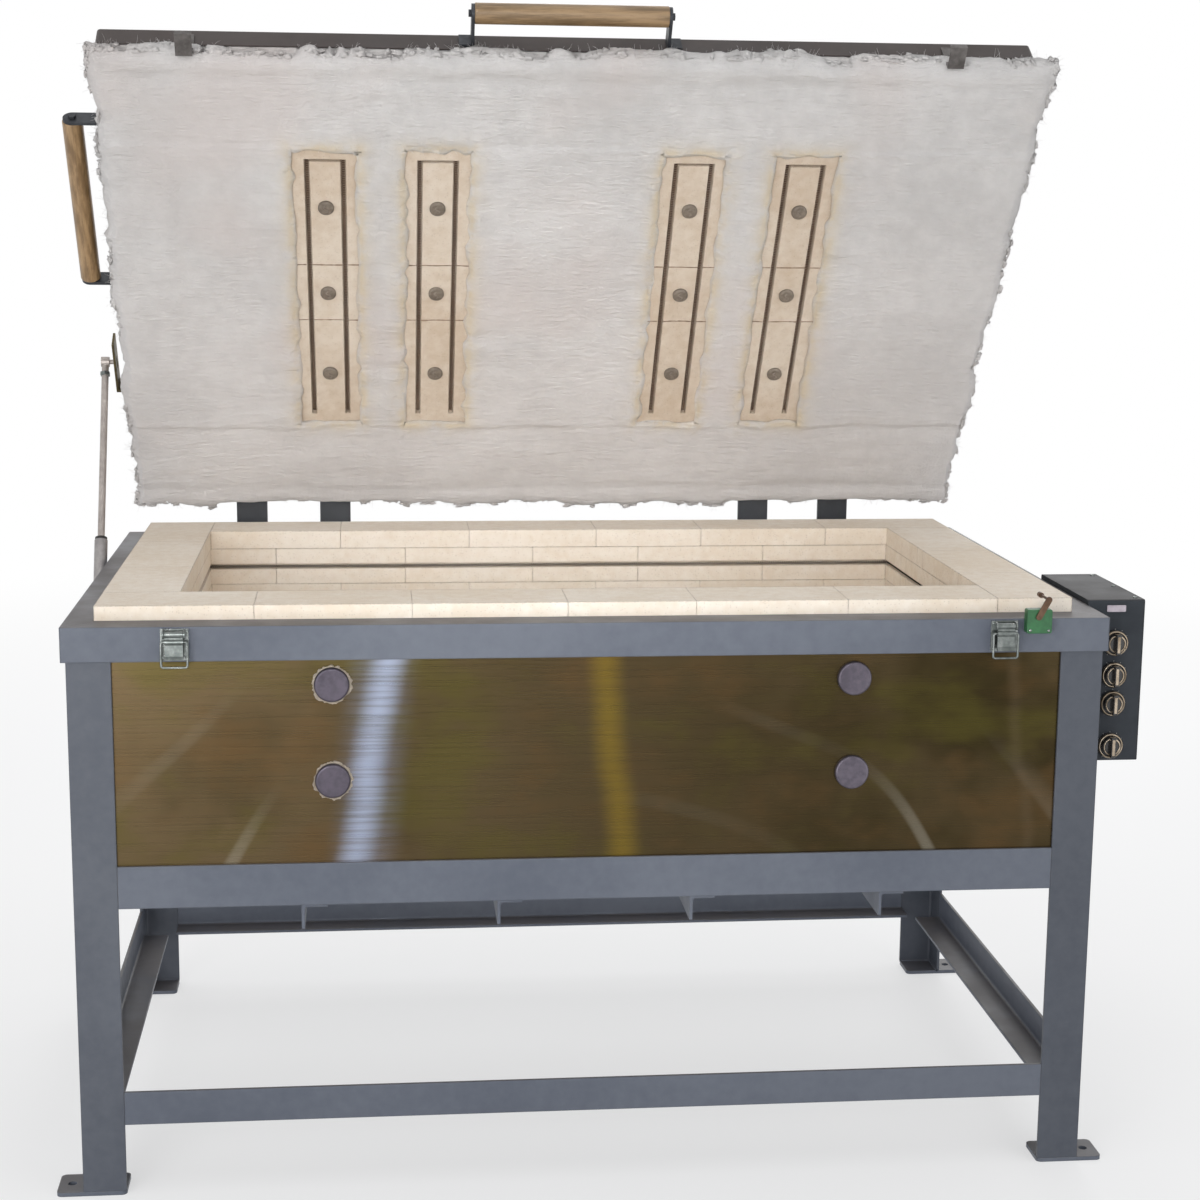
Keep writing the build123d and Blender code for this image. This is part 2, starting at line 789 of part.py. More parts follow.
front_mount = opened(
    Plane(origin=(front_handle_x, lid_front, skirt_middle), x_dir=(1, 0, 0), z_dir=(0, -1, 0))
)
side_mount = opened(
    Plane(origin=(-lid_width / 2, side_handle_y, skirt_middle), x_dir=(0, -1, 0), z_dir=(-1, 0, 0))
)
handles = {
    "front_handle": (front_mount, front_handle_reach),
    "side_handle": (side_mount, side_handle_reach),
}
for name, (mount, reach) in handles.items():
    write_piece(handle_brackets(mount, reach), f"{name}_brackets")
    write_piece(handle_grip(mount, reach), f"{name}_grip")

with BuildPart() as handle_bolts:
    for mount, reach in handles.values():
        for end in (-1, 1):
            head_plane = Plane(
                origin=mount.from_local_coords((end * (grip_length / 2 + bracket_wall), 0, reach)),
                x_dir=mount.z_dir, z_dir=mount.x_dir * end,
            )
            with BuildSketch(head_plane):
                RegularPolygon(bolt_head_radius, 6)
            extrude(amount=bolt_head_height)
            with BuildSketch(head_plane):
                Circle(bolt_radius)
            extrude(amount=-bolt_length)
write_piece(handle_bolts, "handle_bolts")

# Gas spring. Its foot is on the left rail and its top on the left skirt of the lid; the tube
# leans along the line between the two as the lid stands open.
spring_x = -rim_x - spring_outset
spring_foot_z = rail_bottom + spring_foot_lift
spring_top_y = hinge_y - spring_hinge_distance
spring_top_z = skirt_bottom + spring_top_rise
spring_foot = Vector(spring_x, spring_foot_y, spring_foot_z)
spring_top = opened(Plane(origin=(spring_x, spring_top_y, spring_top_z))).origin
spring_length = (spring_top - spring_foot).length
closed_length = dist((spring_foot_y, spring_foot_z), (spring_top_y, spring_top_z))
spring_line = Plane(origin=spring_foot, x_dir=(1, 0, 0), z_dir=spring_top - spring_foot)
foot_eye = Plane(origin=spring_foot - Vector(spring_eye_width / 2, 0, 0), z_dir=(1, 0, 0))
top_eye = Plane(origin=spring_top - Vector(spring_eye_width / 2, 0, 0), z_dir=(1, 0, 0))

with BuildPart() as spring_cylinder:
    with BuildSketch(spring_line):
        Circle(tube_radius)
    extrude(amount=tube_length)
    fillet(edges().filter_by(GeomType.CIRCLE), tube_rounding)
    with BuildSketch(foot_eye):
        Circle(spring_eye_radius + tube_rounding)
    extrude(amount=spring_eye_width)
    with BuildSketch(spring_line.offset(tube_base)):
        Circle(rod_radius + rod_clearance)
    extrude(amount=tube_length - tube_base, mode=Mode.SUBTRACT)
    with BuildSketch(foot_eye.offset(-tube_radius)):
        Circle(spring_pin_radius + pin_clearance)
    extrude(amount=spring_eye_width + 2 * tube_radius, mode=Mode.SUBTRACT)
    for side in (-1, 1):
        # flats on both cheeks of the eye
        cheek = foot_eye.offset(spring_eye_width / 2 + side * spring_eye_width / 2)
        with BuildSketch(cheek):
            Circle(spring_eye_radius + tube_rounding)
        extrude(amount=side * tube_radius, mode=Mode.SUBTRACT)
write_piece(spring_cylinder, "spring_cylinder")

lid_bracket_face = spring_x + spring_eye_width / 2 + spring_eye_radius
with BuildPart() as spring_rod:
    with BuildSketch(spring_line.offset(tube_length - rod_overlap)):
        Circle(rod_radius)
    extrude(amount=spring_length - tube_length + rod_overlap)
    with BuildSketch(top_eye):
        Circle(spring_eye_radius)
    extrude(amount=spring_eye_width)
    with BuildSketch(top_eye.offset(spring_eye_width)):
        Circle(spring_pin_radius)
    extrude(amount=lid_bracket_face - stub_gap - spring_x - spring_eye_width / 2)
write_piece(spring_rod, "spring_rod")

with BuildPart() as spring_foot_bracket:
    with BuildSketch(Plane.YZ.offset(-leg_x)):
        with Locations((spring_foot_y, spring_foot_z)):
            RectangleRounded(spring_plate_width, spring_plate_height, spring_plate_rounding)
    extrude(amount=-spring_plate_wall)
    pin_start = -leg_x - spring_plate_wall
    eye_inner = spring_x + spring_eye_width / 2 + spring_gap
    eye_outer = spring_x - spring_eye_width / 2 - spring_gap
    with BuildSketch(Plane.YZ.offset(pin_start)):
        with Locations((spring_foot_y, spring_foot_z)):
            Circle(spring_collar_radius)
    extrude(amount=eye_inner - pin_start)
    with BuildSketch(Plane.YZ.offset(pin_start)):
        with Locations((spring_foot_y, spring_foot_z)):
            Circle(spring_pin_radius)
    extrude(amount=eye_outer - pin_head_height - pin_start)
    with BuildSketch(Plane.YZ.offset(eye_outer)):
        with Locations((spring_foot_y, spring_foot_z)):
            Circle(spring_collar_radius)
    extrude(amount=-pin_head_height)
write_piece(spring_foot_bracket, "spring_foot_bracket")

with BuildPart() as spring_lid_bracket:
    skirt_x = -lid_width / 2
    with BuildSketch(opened(Plane.XY.offset(spring_top_z - lid_bracket_height / 2))):
        with BuildLine():
            bracket_front = spring_top_y - lid_bracket_width / 2
            bracket_rear = spring_top_y + lid_bracket_width / 2
            Polyline(
                (skirt_x, bracket_rear + bracket_foot),
                (skirt_x, bracket_rear),
                (lid_bracket_face + lid_bracket_wall, bracket_rear),
                (lid_bracket_face + lid_bracket_wall, bracket_front),
                (lid_bracket_face, bracket_front),
                (lid_bracket_face, bracket_rear + lid_bracket_wall),
                (skirt_x - lid_bracket_wall, bracket_rear + lid_bracket_wall),
                (skirt_x - lid_bracket_wall, bracket_rear + bracket_foot), close=True,
            )
        make_face()
    extrude(amount=lid_bracket_height)
    with BuildSketch(opened(Plane.YZ.offset(lid_bracket_face))):
        with Locations((spring_top_y, spring_top_z)):
            SlotOverall(lid_bracket_slot_length, 2 * lid_bracket_slot_radius)
    extrude(amount=lid_bracket_wall, mode=Mode.SUBTRACT)
write_piece(spring_lid_bracket, "spring_lid_bracket")

# Latches: base with two ears and a pin, a lever on the pin, a wire bail on the lever
latch_y = -rim_y - latch_reach
latch_pivot_z = rim_top - latch_pivot_drop
bail_pivot_z = latch_pivot_z - bail_offset
latch_plate_face = -rim_y - latch_plate_wall
ear_inner = lever_width / 2 + latch_side_gap
with BuildPart() as latch_bases:
    for side in (-1, 1):
        middle_x = side * latch_x
        with BuildSketch(Plane.XZ.offset(rim_y)):
            with Locations((middle_x, rim_bottom + rim_height / 2)):
                Rectangle(latch_plate_width, rim_height - 2 * latch_plate_margin)
        extrude(amount=latch_plate_wall)
        for ear_x in (middle_x - ear_inner - latch_ear_wall, middle_x + ear_inner):
            with BuildSketch(Plane.YZ.offset(ear_x)):
                with Locations((latch_y, latch_pivot_z)):
                    Circle(latch_ear_radius)
                with Locations(((latch_y + latch_plate_face) / 2, latch_pivot_z)):
                    Rectangle(latch_plate_face - latch_y, 2 * latch_ear_radius)
            extrude(amount=latch_ear_wall)
        with BuildSketch(Plane.YZ.offset(middle_x - ear_inner - latch_ear_wall)):
            with Locations((latch_y, latch_pivot_z)):
                Circle(latch_pin_radius)
        extrude(amount=2 * (ear_inner + latch_ear_wall))
write_piece(latch_bases, "latch_bases")

for side_name, side in (("left", -1), ("right", 1)):
    middle_x = side * latch_x
    lever_start = Plane.YZ.offset(middle_x - lever_width / 2)
    with BuildPart() as lever:
        with BuildSketch(lever_start):
            with BuildLine():
                Polyline(
                    (latch_y - lever_wall / 2, latch_pivot_z),
                    (latch_y + lever_wall / 2, latch_pivot_z),
                    (latch_y + lever_wall / 2, latch_pivot_z - lever_length),
                    (latch_y - lever_wall / 2 - lever_tab_reach, latch_pivot_z - lever_length),
                    (latch_y - lever_wall / 2, latch_pivot_z - lever_length + lever_tab_reach),
                    close=True,
                )
            make_face()
            with Locations((latch_y, latch_pivot_z)):
                Circle(lever_boss_radius)
                Circle(latch_pin_radius + latch_fit, mode=Mode.SUBTRACT)
            with Locations((latch_y, bail_pivot_z)):
                Circle(lever_boss_radius)
        extrude(amount=lever_width)
        for bore_plane, depth in (
            (lever_start, bail_pin_depth + latch_side_gap),
            (lever_start.offset(lever_width), -bail_pin_depth - latch_side_gap),
        ):
            with BuildSketch(bore_plane):
                with Locations((latch_y, bail_pivot_z)):
                    Circle(bail_wire_radius + latch_fit)
            extrude(amount=depth, mode=Mode.SUBTRACT)
    write_piece(lever, f"latch_lever_{side_name}")

    pin_tip = lever_width / 2 - bail_pin_depth
    bail_end_z = bail_pivot_z - bail_length
    with BuildPart() as bail:
        with BuildLine(Plane.XZ.offset(-latch_y)):
            FilletPolyline(
                (middle_x - pin_tip, bail_pivot_z), (middle_x - bail_half_width, bail_pivot_z),
                (middle_x - bail_half_width, bail_end_z), (middle_x + bail_half_width, bail_end_z),
                (middle_x + bail_half_width, bail_pivot_z), (middle_x + pin_tip, bail_pivot_z),
                radius=bail_bend,
            )
        with BuildSketch(
            Plane(origin=(middle_x - pin_tip, latch_y, bail_pivot_z), z_dir=(-1, 0, 0))
        ):
            Circle(bail_wire_radius)
        sweep()
    write_piece(bail, f"latch_bail_{side_name}")

# Keepers on the front skirt: the bail's end bar drops into the trough behind the lip
hook_z = bail_pivot_z + bail_length - bail_wire_radius - latch_fit
trough_front = latch_y - keeper_trough / 2 + bail_wire_radius
with BuildPart() as latch_keepers:
    for side in (-1, 1):
        with BuildSketch(opened(Plane.YZ.offset(side * latch_x - keeper_width / 2))):
            with BuildLine():
                Polyline(
                    (lid_front, lid_top - keeper_top_margin),
                    (lid_front, hook_z - keeper_wall),
                    (trough_front - keeper_wall, hook_z - keeper_wall),
                    (trough_front - keeper_wall, hook_z + keeper_lip),
                    (trough_front, hook_z + keeper_lip),
                    (trough_front, hook_z),
                    (lid_front - keeper_wall, hook_z),
                    (lid_front - keeper_wall, lid_top - keeper_top_margin), close=True,
                )
            make_face()
        extrude(amount=keeper_width)
write_piece(latch_keepers, "latch_keepers")

# Lid switch: a small housing on the rim and a roller lever that the closing lid pushes down
switch_top = rim_top + switch_top_rise
switch_x = switch_left + switch_pivot_x
switch_z = switch_top - switch_pivot_drop
with BuildPart() as lid_switch_body:
    with BuildSketch(Plane.XZ.offset(rim_y)):
        with Locations((switch_left + switch_width / 2, switch_top - switch_height / 2)):
            RectangleRounded(switch_width, switch_height, switch_rounding)
    extrude(amount=switch_depth)
    fillet(faces().sort_by(Axis.Y)[0].edges(), switch_rounding / 2)
    with BuildSketch(Plane.XZ.offset(rim_y + switch_depth)):
        with Locations((switch_x, switch_z)):
            Circle(switch_shaft_radius + pin_clearance)
    extrude(amount=-switch_shaft_depth - sheet_clearance, mode=Mode.SUBTRACT)
write_piece(lid_switch_body, "lid_switch_body")

arm_face = Plane.XZ.offset(rim_y + switch_depth + switch_arm_gap)
roller_x = switch_x + switch_arm_length * cos(radians(switch_arm_angle))
roller_z = switch_z + switch_arm_length * sin(radians(switch_arm_angle))
with BuildPart() as lid_switch_lever:
    with BuildSketch(arm_face):
        with Locations(((switch_x + roller_x) / 2, (switch_z + roller_z) / 2)):
            SlotCenterToCenter(switch_arm_length, switch_arm_width, rotation=switch_arm_angle)
    extrude(amount=switch_arm_wall)
    with BuildSketch(arm_face):
        with Locations((switch_x, switch_z)):
            Circle(switch_shaft_radius)
    extrude(amount=-switch_shaft_depth)
    axle_length = switch_depth + switch_arm_gap + roller_reach
    with BuildSketch(arm_face):
        with Locations((roller_x, roller_z)):
            Circle(switch_axle_radius)
    extrude(amount=-axle_length)
    with BuildSketch(arm_face.offset(-axle_length)):
        with Locations((roller_x, roller_z)):
            Circle(roller_radius)
    extrude(amount=roller_length)
write_piece(lid_switch_lever, "lid_switch_lever")

# Control box: a folded housing on the right of the rim, its outer side closed by a cover
box_x = rim_x + box_width / 2
box_y = box_front + box_depth / 2
box_z = box_bottom + box_height / 2
box_outer = rim_x + box_width
with BuildPart() as control_box:
    with BuildSketch(Plane.YZ.offset(rim_x)):
        with Locations((box_y, box_z)):
            RectangleRounded(box_depth, box_height, box_rounding + box_wall)
    extrude(amount=box_width - box_wall)
    with BuildSketch(Plane.YZ.offset(rim_x + box_wall)):
        with Locations((box_y, box_z)):
            RectangleRounded(box_depth - 2 * box_wall, box_height - 2 * box_wall, box_rounding)
    extrude(amount=box_width, mode=Mode.SUBTRACT)
    with BuildSketch(Plane.XZ.offset(-box_front)):
        with Locations(*[(box_x, z) for z in knob_heights]):
            Circle(bush_radius + shaft_clearance)
    extrude(amount=-box_wall, mode=Mode.SUBTRACT)
    with BuildSketch(Plane.XY.offset(box_bottom)):
        with Locations((box_x, box_y)):
            Circle(gland_neck_radius)
    extrude(amount=box_wall, mode=Mode.SUBTRACT)
write_piece(control_box, "control_box")

with BuildPart() as control_box_cover:
    with BuildSketch(Plane.YZ.offset(box_outer - box_wall)):
        with Locations((box_y, box_z)):
            RectangleRounded(box_depth, box_height, box_rounding + box_wall)
    extrude(amount=box_wall)
write_piece(control_box_cover, "control_box_cover")

inner_face = box_front + box_wall
with BuildPart() as rotary_switches:
    for switch_height_z in knob_heights:
        with BuildSketch(Plane.XZ.offset(-inner_face)):
            with Locations((box_x, switch_height_z)):
                RectangleRounded(switch_body_width, switch_body_width, box_rounding)
        extrude(amount=-switch_body_depth)
        with BuildSketch(Plane.XZ.offset(-inner_face)):
            with Locations((box_x, switch_height_z)):
                Circle(bush_radius)
        extrude(amount=box_wall)
        with BuildSketch(Plane.XZ.offset(-box_front)):
            with Locations((box_x, switch_height_z)):
                Circle(shaft_radius + shaft_clearance)
        extrude(amount=-shaft_length - box_wall, mode=Mode.SUBTRACT)
write_piece(rotary_switches, "rotary_switches")

knob_number = 0
for knob_z in knob_heights:
    knob_number += 1
    knob_back = Plane(
        origin=(box_x, box_front - knob_gap, knob_z), x_dir=(1, 0, 0), z_dir=(0, -1, 0)
    )
    with BuildPart() as knob:
        with BuildSketch(knob_back):
            Circle(knob_skirt_radius)
        extrude(amount=knob_skirt_height)
        with BuildSketch(knob_back.offset(knob_skirt_height)):
            Circle(knob_radius)
            Rectangle(knob_grip_width, 2 * knob_radius, mode=Mode.INTERSECT)
        extrude(amount=knob_height - knob_skirt_height)
        with BuildSketch(knob_back.offset(knob_skirt_height)):
            Circle(knob_radius - knob_rounding)
        extrude(amount=knob_hub_height)
        fillet(faces().sort_by(Axis.Y)[0].edges(), knob_rounding)
        with BuildSketch(knob_back):
            Circle(shaft_radius)
        extrude(amount=-shaft_length)
    write_piece(knob, f"knob_{knob_number}")

with BuildPart() as cord_gland:
    with BuildSketch(Plane.XY.offset(box_bottom)):
        with Locations((box_x, box_y)):
            RegularPolygon(gland_radius, 6)
    extrude(amount=-gland_height)
    with BuildSketch(Plane.XY.offset(box_bottom - gland_height)):
        with Locations((box_x, box_y)):
            Circle(gland_dome_radius)
    extrude(amount=-gland_dome_height)
    fillet(faces().sort_by(Axis.Z)[0].edges(), gland_dome_radius - gland_neck_radius)
    with BuildSketch(Plane.XY.offset(box_bottom)):
        with Locations((box_x, box_y)):
            Circle(gland_neck_radius - shaft_clearance)
    extrude(amount=box_wall)
    with BuildSketch(Plane.XY.offset(box_bottom + box_wall)):
        with Locations((box_x, box_y)):
            Circle(gland_bore_radius)
    extrude(amount=-box_wall - gland_height - gland_dome_height, mode=Mode.SUBTRACT)
write_piece(cord_gland, "cord_gland")

# The spring's two places, for whoever sets up its motion
open_lean = degrees(atan2(spring_top.Y - spring_foot_y, spring_top.Z - spring_foot_z))
closed_lean = degrees(atan2(spring_top_y - spring_foot_y, spring_top_z - spring_foot_z))
print(f"gas spring: {spring_length:.2f} mm open, {closed_length:.2f} mm closed")
print(f"gas spring leans {open_lean:.3f} degrees open, {closed_lean:.3f} degrees closed")
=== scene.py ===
import json
import math

import bmesh
import bpy
import numpy as np
from mathutils import Matrix, Vector


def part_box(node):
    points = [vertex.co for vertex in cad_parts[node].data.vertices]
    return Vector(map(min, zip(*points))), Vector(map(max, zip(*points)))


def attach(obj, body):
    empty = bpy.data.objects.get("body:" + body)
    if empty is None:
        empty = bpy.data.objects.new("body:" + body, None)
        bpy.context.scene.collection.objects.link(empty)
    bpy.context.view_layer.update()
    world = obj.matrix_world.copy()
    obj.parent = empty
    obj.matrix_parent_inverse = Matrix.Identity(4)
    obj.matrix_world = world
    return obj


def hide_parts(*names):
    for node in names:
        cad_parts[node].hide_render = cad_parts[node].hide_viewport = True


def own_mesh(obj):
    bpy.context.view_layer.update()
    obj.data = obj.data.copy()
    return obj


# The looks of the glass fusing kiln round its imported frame.
# Metres. X is to the right, Y to the hinge side, Z up. The lid stands open at rest.

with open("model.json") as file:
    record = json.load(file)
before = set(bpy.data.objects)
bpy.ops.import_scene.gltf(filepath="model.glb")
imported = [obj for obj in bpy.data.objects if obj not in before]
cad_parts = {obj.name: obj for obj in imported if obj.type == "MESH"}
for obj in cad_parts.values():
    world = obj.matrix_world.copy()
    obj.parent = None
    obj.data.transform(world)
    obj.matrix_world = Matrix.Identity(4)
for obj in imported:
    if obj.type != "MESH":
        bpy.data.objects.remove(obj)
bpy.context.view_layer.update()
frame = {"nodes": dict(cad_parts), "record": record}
bpy.context.scene.view_settings.view_transform = "Standard"
nodes = frame["nodes"]
print("frame is in:", len(nodes), "nodes")

# the lid as it lies when closed, and the hinge line it opens about
lid = {
    "hingeY": 0.5027, "hingeZ": 0.9220, "openAngle": 56.0,
    "face": 0.88475, "skirtBottom": 0.90975, "top": 0.95175, "wall": 0.002,
    "front": -0.440, "rear": 0.487, "halfWidth": 0.743,
    "stripX": (-0.395, -0.213, 0.205, 0.390), "stripY": 0.0111,
    "stripHalfWidth": 0.05715, "stripHalfLength": 0.28575,
}


def openLid(points):
    # turns points of the closed lid about the hinge line to where the open lid holds them
    turn = math.radians(lid["openAngle"])
    dy = points[:, 1] - lid["hingeY"]
    dz = points[:, 2] - lid["hingeZ"]
    out = points.copy()
    out[:, 1] = lid["hingeY"] + math.cos(turn) * dy + math.sin(turn) * dz
    out[:, 2] = lid["hingeZ"] - math.sin(turn) * dy + math.cos(turn) * dz
    return out


def latticeNoise(x, y, size, seed):
    # random heights from -1 to 1 on a square lattice of that cell size, blended with an S-curve
    table = np.random.default_rng(seed).random((256, 256)) * 2 - 1
    u, v = x / size, y / size
    i, j = np.floor(u).astype(int), np.floor(v).astype(int)
    fu, fv = u - i, v - j
    fu, fv = fu * fu * (3 - 2 * fu), fv * fv * (3 - 2 * fv)
    i0, i1, j0, j1 = i % 256, (i + 1) % 256, j % 256, (j + 1) % 256
    low = table[i0, j0] * (1 - fu) + table[i1, j0] * fu
    high = table[i0, j1] * (1 - fu) + table[i1, j1] * fu
    return low * (1 - fv) + high * fv


def noiseSum(x, y, layers):
    # noise layers added up, each given as its height, cell size and seed
    return sum(height * latticeNoise(x, y, size, seed) for height, size, seed in layers)


def smoothStep(value, low, high):
    t = np.clip((value - low) / (high - low), 0, 1)
    return t * t * (3 - 2 * t)


def gridQuads(rows, cols, closeCols=False, closeRows=False):
    # the quads of a grid whose points lie row after row
    r = np.arange(rows if closeRows else rows - 1)[:, None]
    c = np.arange(cols if closeCols else cols - 1)[None, :]
    r1, c1 = (r + 1) % rows, (c + 1) % cols
    quads = np.stack([r * cols + c, r * cols + c1, r1 * cols + c1, r1 * cols + c], axis=-1)
    return quads.reshape(-1, 4)


def barFaces(rows, sides, closed=False):
    # the quads of a bar made of rings, with a face on each end unless it closes on itself
    faces = gridQuads(rows, sides, closeCols=True, closeRows=closed).tolist()
    if not closed:
        last = (rows - 1) * sides
        faces += [list(range(sides))[::-1], list(range(last, last + sides))]
    return faces


def unit(vectors):
    return vectors / np.maximum(np.linalg.norm(vectors, axis=-1, keepdims=True), 1e-9)


def turns(count):
    # evenly spaced angles of one full turn
    return np.arange(count) / count * 2 * np.pi


def rings(middle, u, v, radius, sides):
    # round each middle: the middle plus the radius times cos(turn) u plus sin(turn) v
    turn = turns(sides)[:, None]
    spokes = np.cos(turn) * u[..., None, :] + np.sin(turn) * v[..., None, :]
    return middle[..., None, :] + radius * spokes


def addPiece(name, parts, body, slotName, material=None, smooth=True):
    # a mesh object at the origin that rides on a body and shows its slot's finish or its own;
    # its parts are points with their faces, and those of the lid are given as it lies when
    # closed
    faces, total = [], 0
    for partPoints, partFaces in parts:
        faces += [[i + total for i in face] for face in partFaces]
        total += len(partPoints)
    points = np.concatenate([partPoints for partPoints, _ in parts])
    if body == "lid":
        points = openLid(points)
    mesh = bpy.data.meshes.new(name)
    mesh.from_pydata(points.tolist(), [], faces)
    shaped = bmesh.new()
    shaped.from_mesh(mesh)
    bmesh.ops.recalc_face_normals(shaped, faces=shaped.faces)
    shaped.to_mesh(mesh)
    shaped.free()
    mesh.update()
    mesh.polygons.foreach_set("use_smooth", np.full(len(mesh.polygons), smooth))
    piece = bpy.data.objects.new(name, mesh)
    bpy.context.scene.collection.objects.link(piece)
    mesh.materials.append(material or finishes[slotName])
    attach(piece, body)
    return piece


# shader tools: each makes nodes in a tree and hands back a node or an output


def linearColour(colour):
    # a colour as an image shows it, from 0 to 255, in linear light
    values = [c / 255 for c in colour]
    return tuple(c / 12.92 if c <= 0.04045 else ((c + 0.055) / 1.055) ** 2.4 for c in values) + (1,)


def linkOrSet(tree, socket, value):
    # links an output or sets a value; a colour of three numbers is one as an image shows it
    if isinstance(value, bpy.types.NodeSocket):
        tree.links.new(value, socket)
    elif socket.type == "RGBA" and len(value) == 3:
        socket.default_value = linearColour(value)
    else:
        socket.default_value = value


def addNode(tree, kind, inputs=None, **settings):
    node = tree.nodes.new("ShaderNode" + kind)
    for label, value in settings.items():
        setattr(node, label, value)
    for label, value in (inputs or {}).items():
        linkOrSet(tree, node.inputs[label], value)
    return node


def addMath(tree, operation, *values):
    return addNode(tree, "Math", dict(enumerate(values)), operation=operation).outputs[0]


def addProduct(tree, first, *others):
    for other in others:
        first = addMath(tree, "MULTIPLY", first, other)
    return first


def addNoise(tree, vector, scale, detail=4.0, roughness=0.55, stretch=None):
    if stretch:
        vector = addNode(tree, "Mapping", {"Vector": vector, "Scale": stretch}).outputs[0]
    return addNode(tree, "TexNoise", {
        "Vector": vector, "Scale": scale, "Detail": detail, "Roughness": roughness}).outputs["Fac"]


def addRange(tree, value, low, high, outLow=0.0, outHigh=1.0):
    # an S-curve from outLow to outHigh while the value goes from low to high
    return addNode(tree, "MapRange", {
        "Value": value, "From Min": low, "From Max": high, "To Min": outLow, "To Max": outHigh,
    }, interpolation_type="SMOOTHSTEP").outputs[0]


def addMix(tree, factor, first, second):
    # the places 0, 6 and 7 are the factor and the two colours of this node
    return addNode(tree, "Mix", {0: factor, 6: first, 7: second}, data_type="RGBA").outputs[2]


def objectCoords(tree):
    return addNode(tree, "TexCoord").outputs["Object"]


def splitAxes(tree, vector):
    return addNode(tree, "SeparateXYZ", {0: vector}).outputs


def seenDirectly(tree):
    # 1 for rays of the camera, of reflections and through glass, and 0 for the light's own
    path = addNode(tree, "LightPath").outputs
    seen = addMath(tree, "MAXIMUM", path["Is Camera Ray"], path["Is Glossy Ray"])
    return addMath(tree, "MAXIMUM", seen, path["Is Transmission Ray"])


# camera and stage

cameraSetup = {
    "place": (-0.3187, -3.5475, 1.4596),
    "right": (0.9947, -0.1020, 0.0097), "forward": (0.1021, 0.9786, -0.1785),
    "lens": 65.38, "sensor": 36.0, "clip": (0.05, 100),
}
stageSetup = {
    "floorReach": 30.0, "floorSides": 48, "fadeStart": 2.2, "fadeEnd": 5.5,
    "floorColour": (0.90, 0.90, 0.90, 1), "shadowShare": 0.45, "plainColour": (1, 1, 1, 1),
    "worldStrength": 0.66, "worldColour": (0.97, 0.98, 1.0, 1),
}
lampSetup = {
    "keyLamp": {"place": (-2.2, -4.2, 1.0), "aim": (0, 0, 1.0), "size": 2.6, "watts": 88},
    "fillLamp": {"place": (3.0, -3.6, 0.9), "aim": (0, 0, 0.9), "size": 2.6, "watts": 26},
    "topLamp": {"place": (0.2, -0.6, 4.2), "aim": (0, 0, 0.8), "size": 2.4, "watts": 6},
    "lowLamp": {"place": (-0.4, -3.9, 1.75), "aim": (0, 0.45, 0.93), "size": 1.2, "watts": 1.65,
                "spread": 24},
    "rearLamp": {"place": (0.8, 3.8, 2.8), "aim": (0, 0, 0.9), "size": 2.6, "watts": 60},
}


def makeCamera():
    data = bpy.data.cameras.new("kilnCamera")
    data.lens, data.sensor_width = cameraSetup["lens"], cameraSetup["sensor"]
    camera = bpy.data.objects.new("kilnCamera", data)
    bpy.context.scene.collection.objects.link(camera)
    forward = Vector(cameraSetup["forward"]).normalized()
    right = Vector(cameraSetup["right"])
    right = (right - forward * right.dot(forward)).normalized()
    up = right.cross(forward)
    camera.matrix_world = Matrix.Translation(cameraSetup["place"]) @ Matrix(
        (right, up, -forward)).transposed().to_4x4()
    data.clip_start, data.clip_end = cameraSetup["clip"]
    bpy.context.scene.camera = camera


def makeWorld():
    world = bpy.data.worlds.new("studio")
    bpy.context.scene.world = world
    world.use_nodes = True
    tree = world.node_tree
    tree.nodes.clear()
    light = addNode(tree, "Background", {
        "Color": stageSetup["worldColour"], "Strength": stageSetup["worldStrength"]})
    plain = addNode(tree, "Background", {"Color": stageSetup["plainColour"]})
    mixed = addNode(tree, "MixShader", {
        0: seenDirectly(tree), 1: light.outputs[0], 2: plain.outputs[0]})
    addNode(tree, "OutputWorld", {0: mixed.outputs[0]})


def makeLamps():
    for name, setup in lampSetup.items():
        data = bpy.data.lights.new(name, "AREA")
        data.shape, data.size, data.energy = "DISK", setup["size"], setup["watts"]
        data.spread = math.radians(setup.get("spread", 180))
        lamp = bpy.data.objects.new(name, data)
        bpy.context.scene.collection.objects.link(lamp)
        lamp.location = setup["place"]
        aim = Vector(setup["aim"]) - lamp.location
        lamp.rotation_euler = aim.to_track_quat("-Z", "Y").to_euler()


def makeFloor():
    # a flat disc that fades to plain white far out and keeps a soft shadow near the kiln
    sides = stageSetup["floorSides"]
    turn = np.linspace(0, 2 * np.pi, sides, endpoint=False)
    points = np.column_stack([np.cos(turn), np.sin(turn), 0 * turn]) * stageSetup["floorReach"]
    mesh = bpy.data.meshes.new("studioFloor")
    mesh.from_pydata(points.tolist(), [], [list(range(sides))])
    floor = bpy.data.objects.new("studioFloor", mesh)
    bpy.context.scene.collection.objects.link(floor)
    material = bpy.data.materials.new("paleFloor")
    material.use_nodes = True
    tree = material.node_tree
    tree.nodes.clear()
    lit = addNode(tree, "BsdfDiffuse", {"Color": stageSetup["floorColour"]})
    plain = addNode(tree, "Emission", {"Color": stageSetup["plainColour"]})
    away = addNode(tree, "VectorMath", {0: objectCoords(tree)}, operation="LENGTH")
    fade = addRange(tree, away.outputs["Value"], stageSetup["fadeStart"], stageSetup["fadeEnd"],
                    1 - stageSetup["shadowShare"], 1)
    share = addMath(tree, "MULTIPLY", seenDirectly(tree), fade)
    mixed = addNode(tree, "MixShader", {0: share, 1: lit.outputs[0], 2: plain.outputs[0]})
    addNode(tree, "OutputMaterial", {0: mixed.outputs[0]})
    mesh.materials.append(material)


makeCamera()
makeWorld()
makeLamps()
makeFloor()
print("camera, lamps and floor are set")

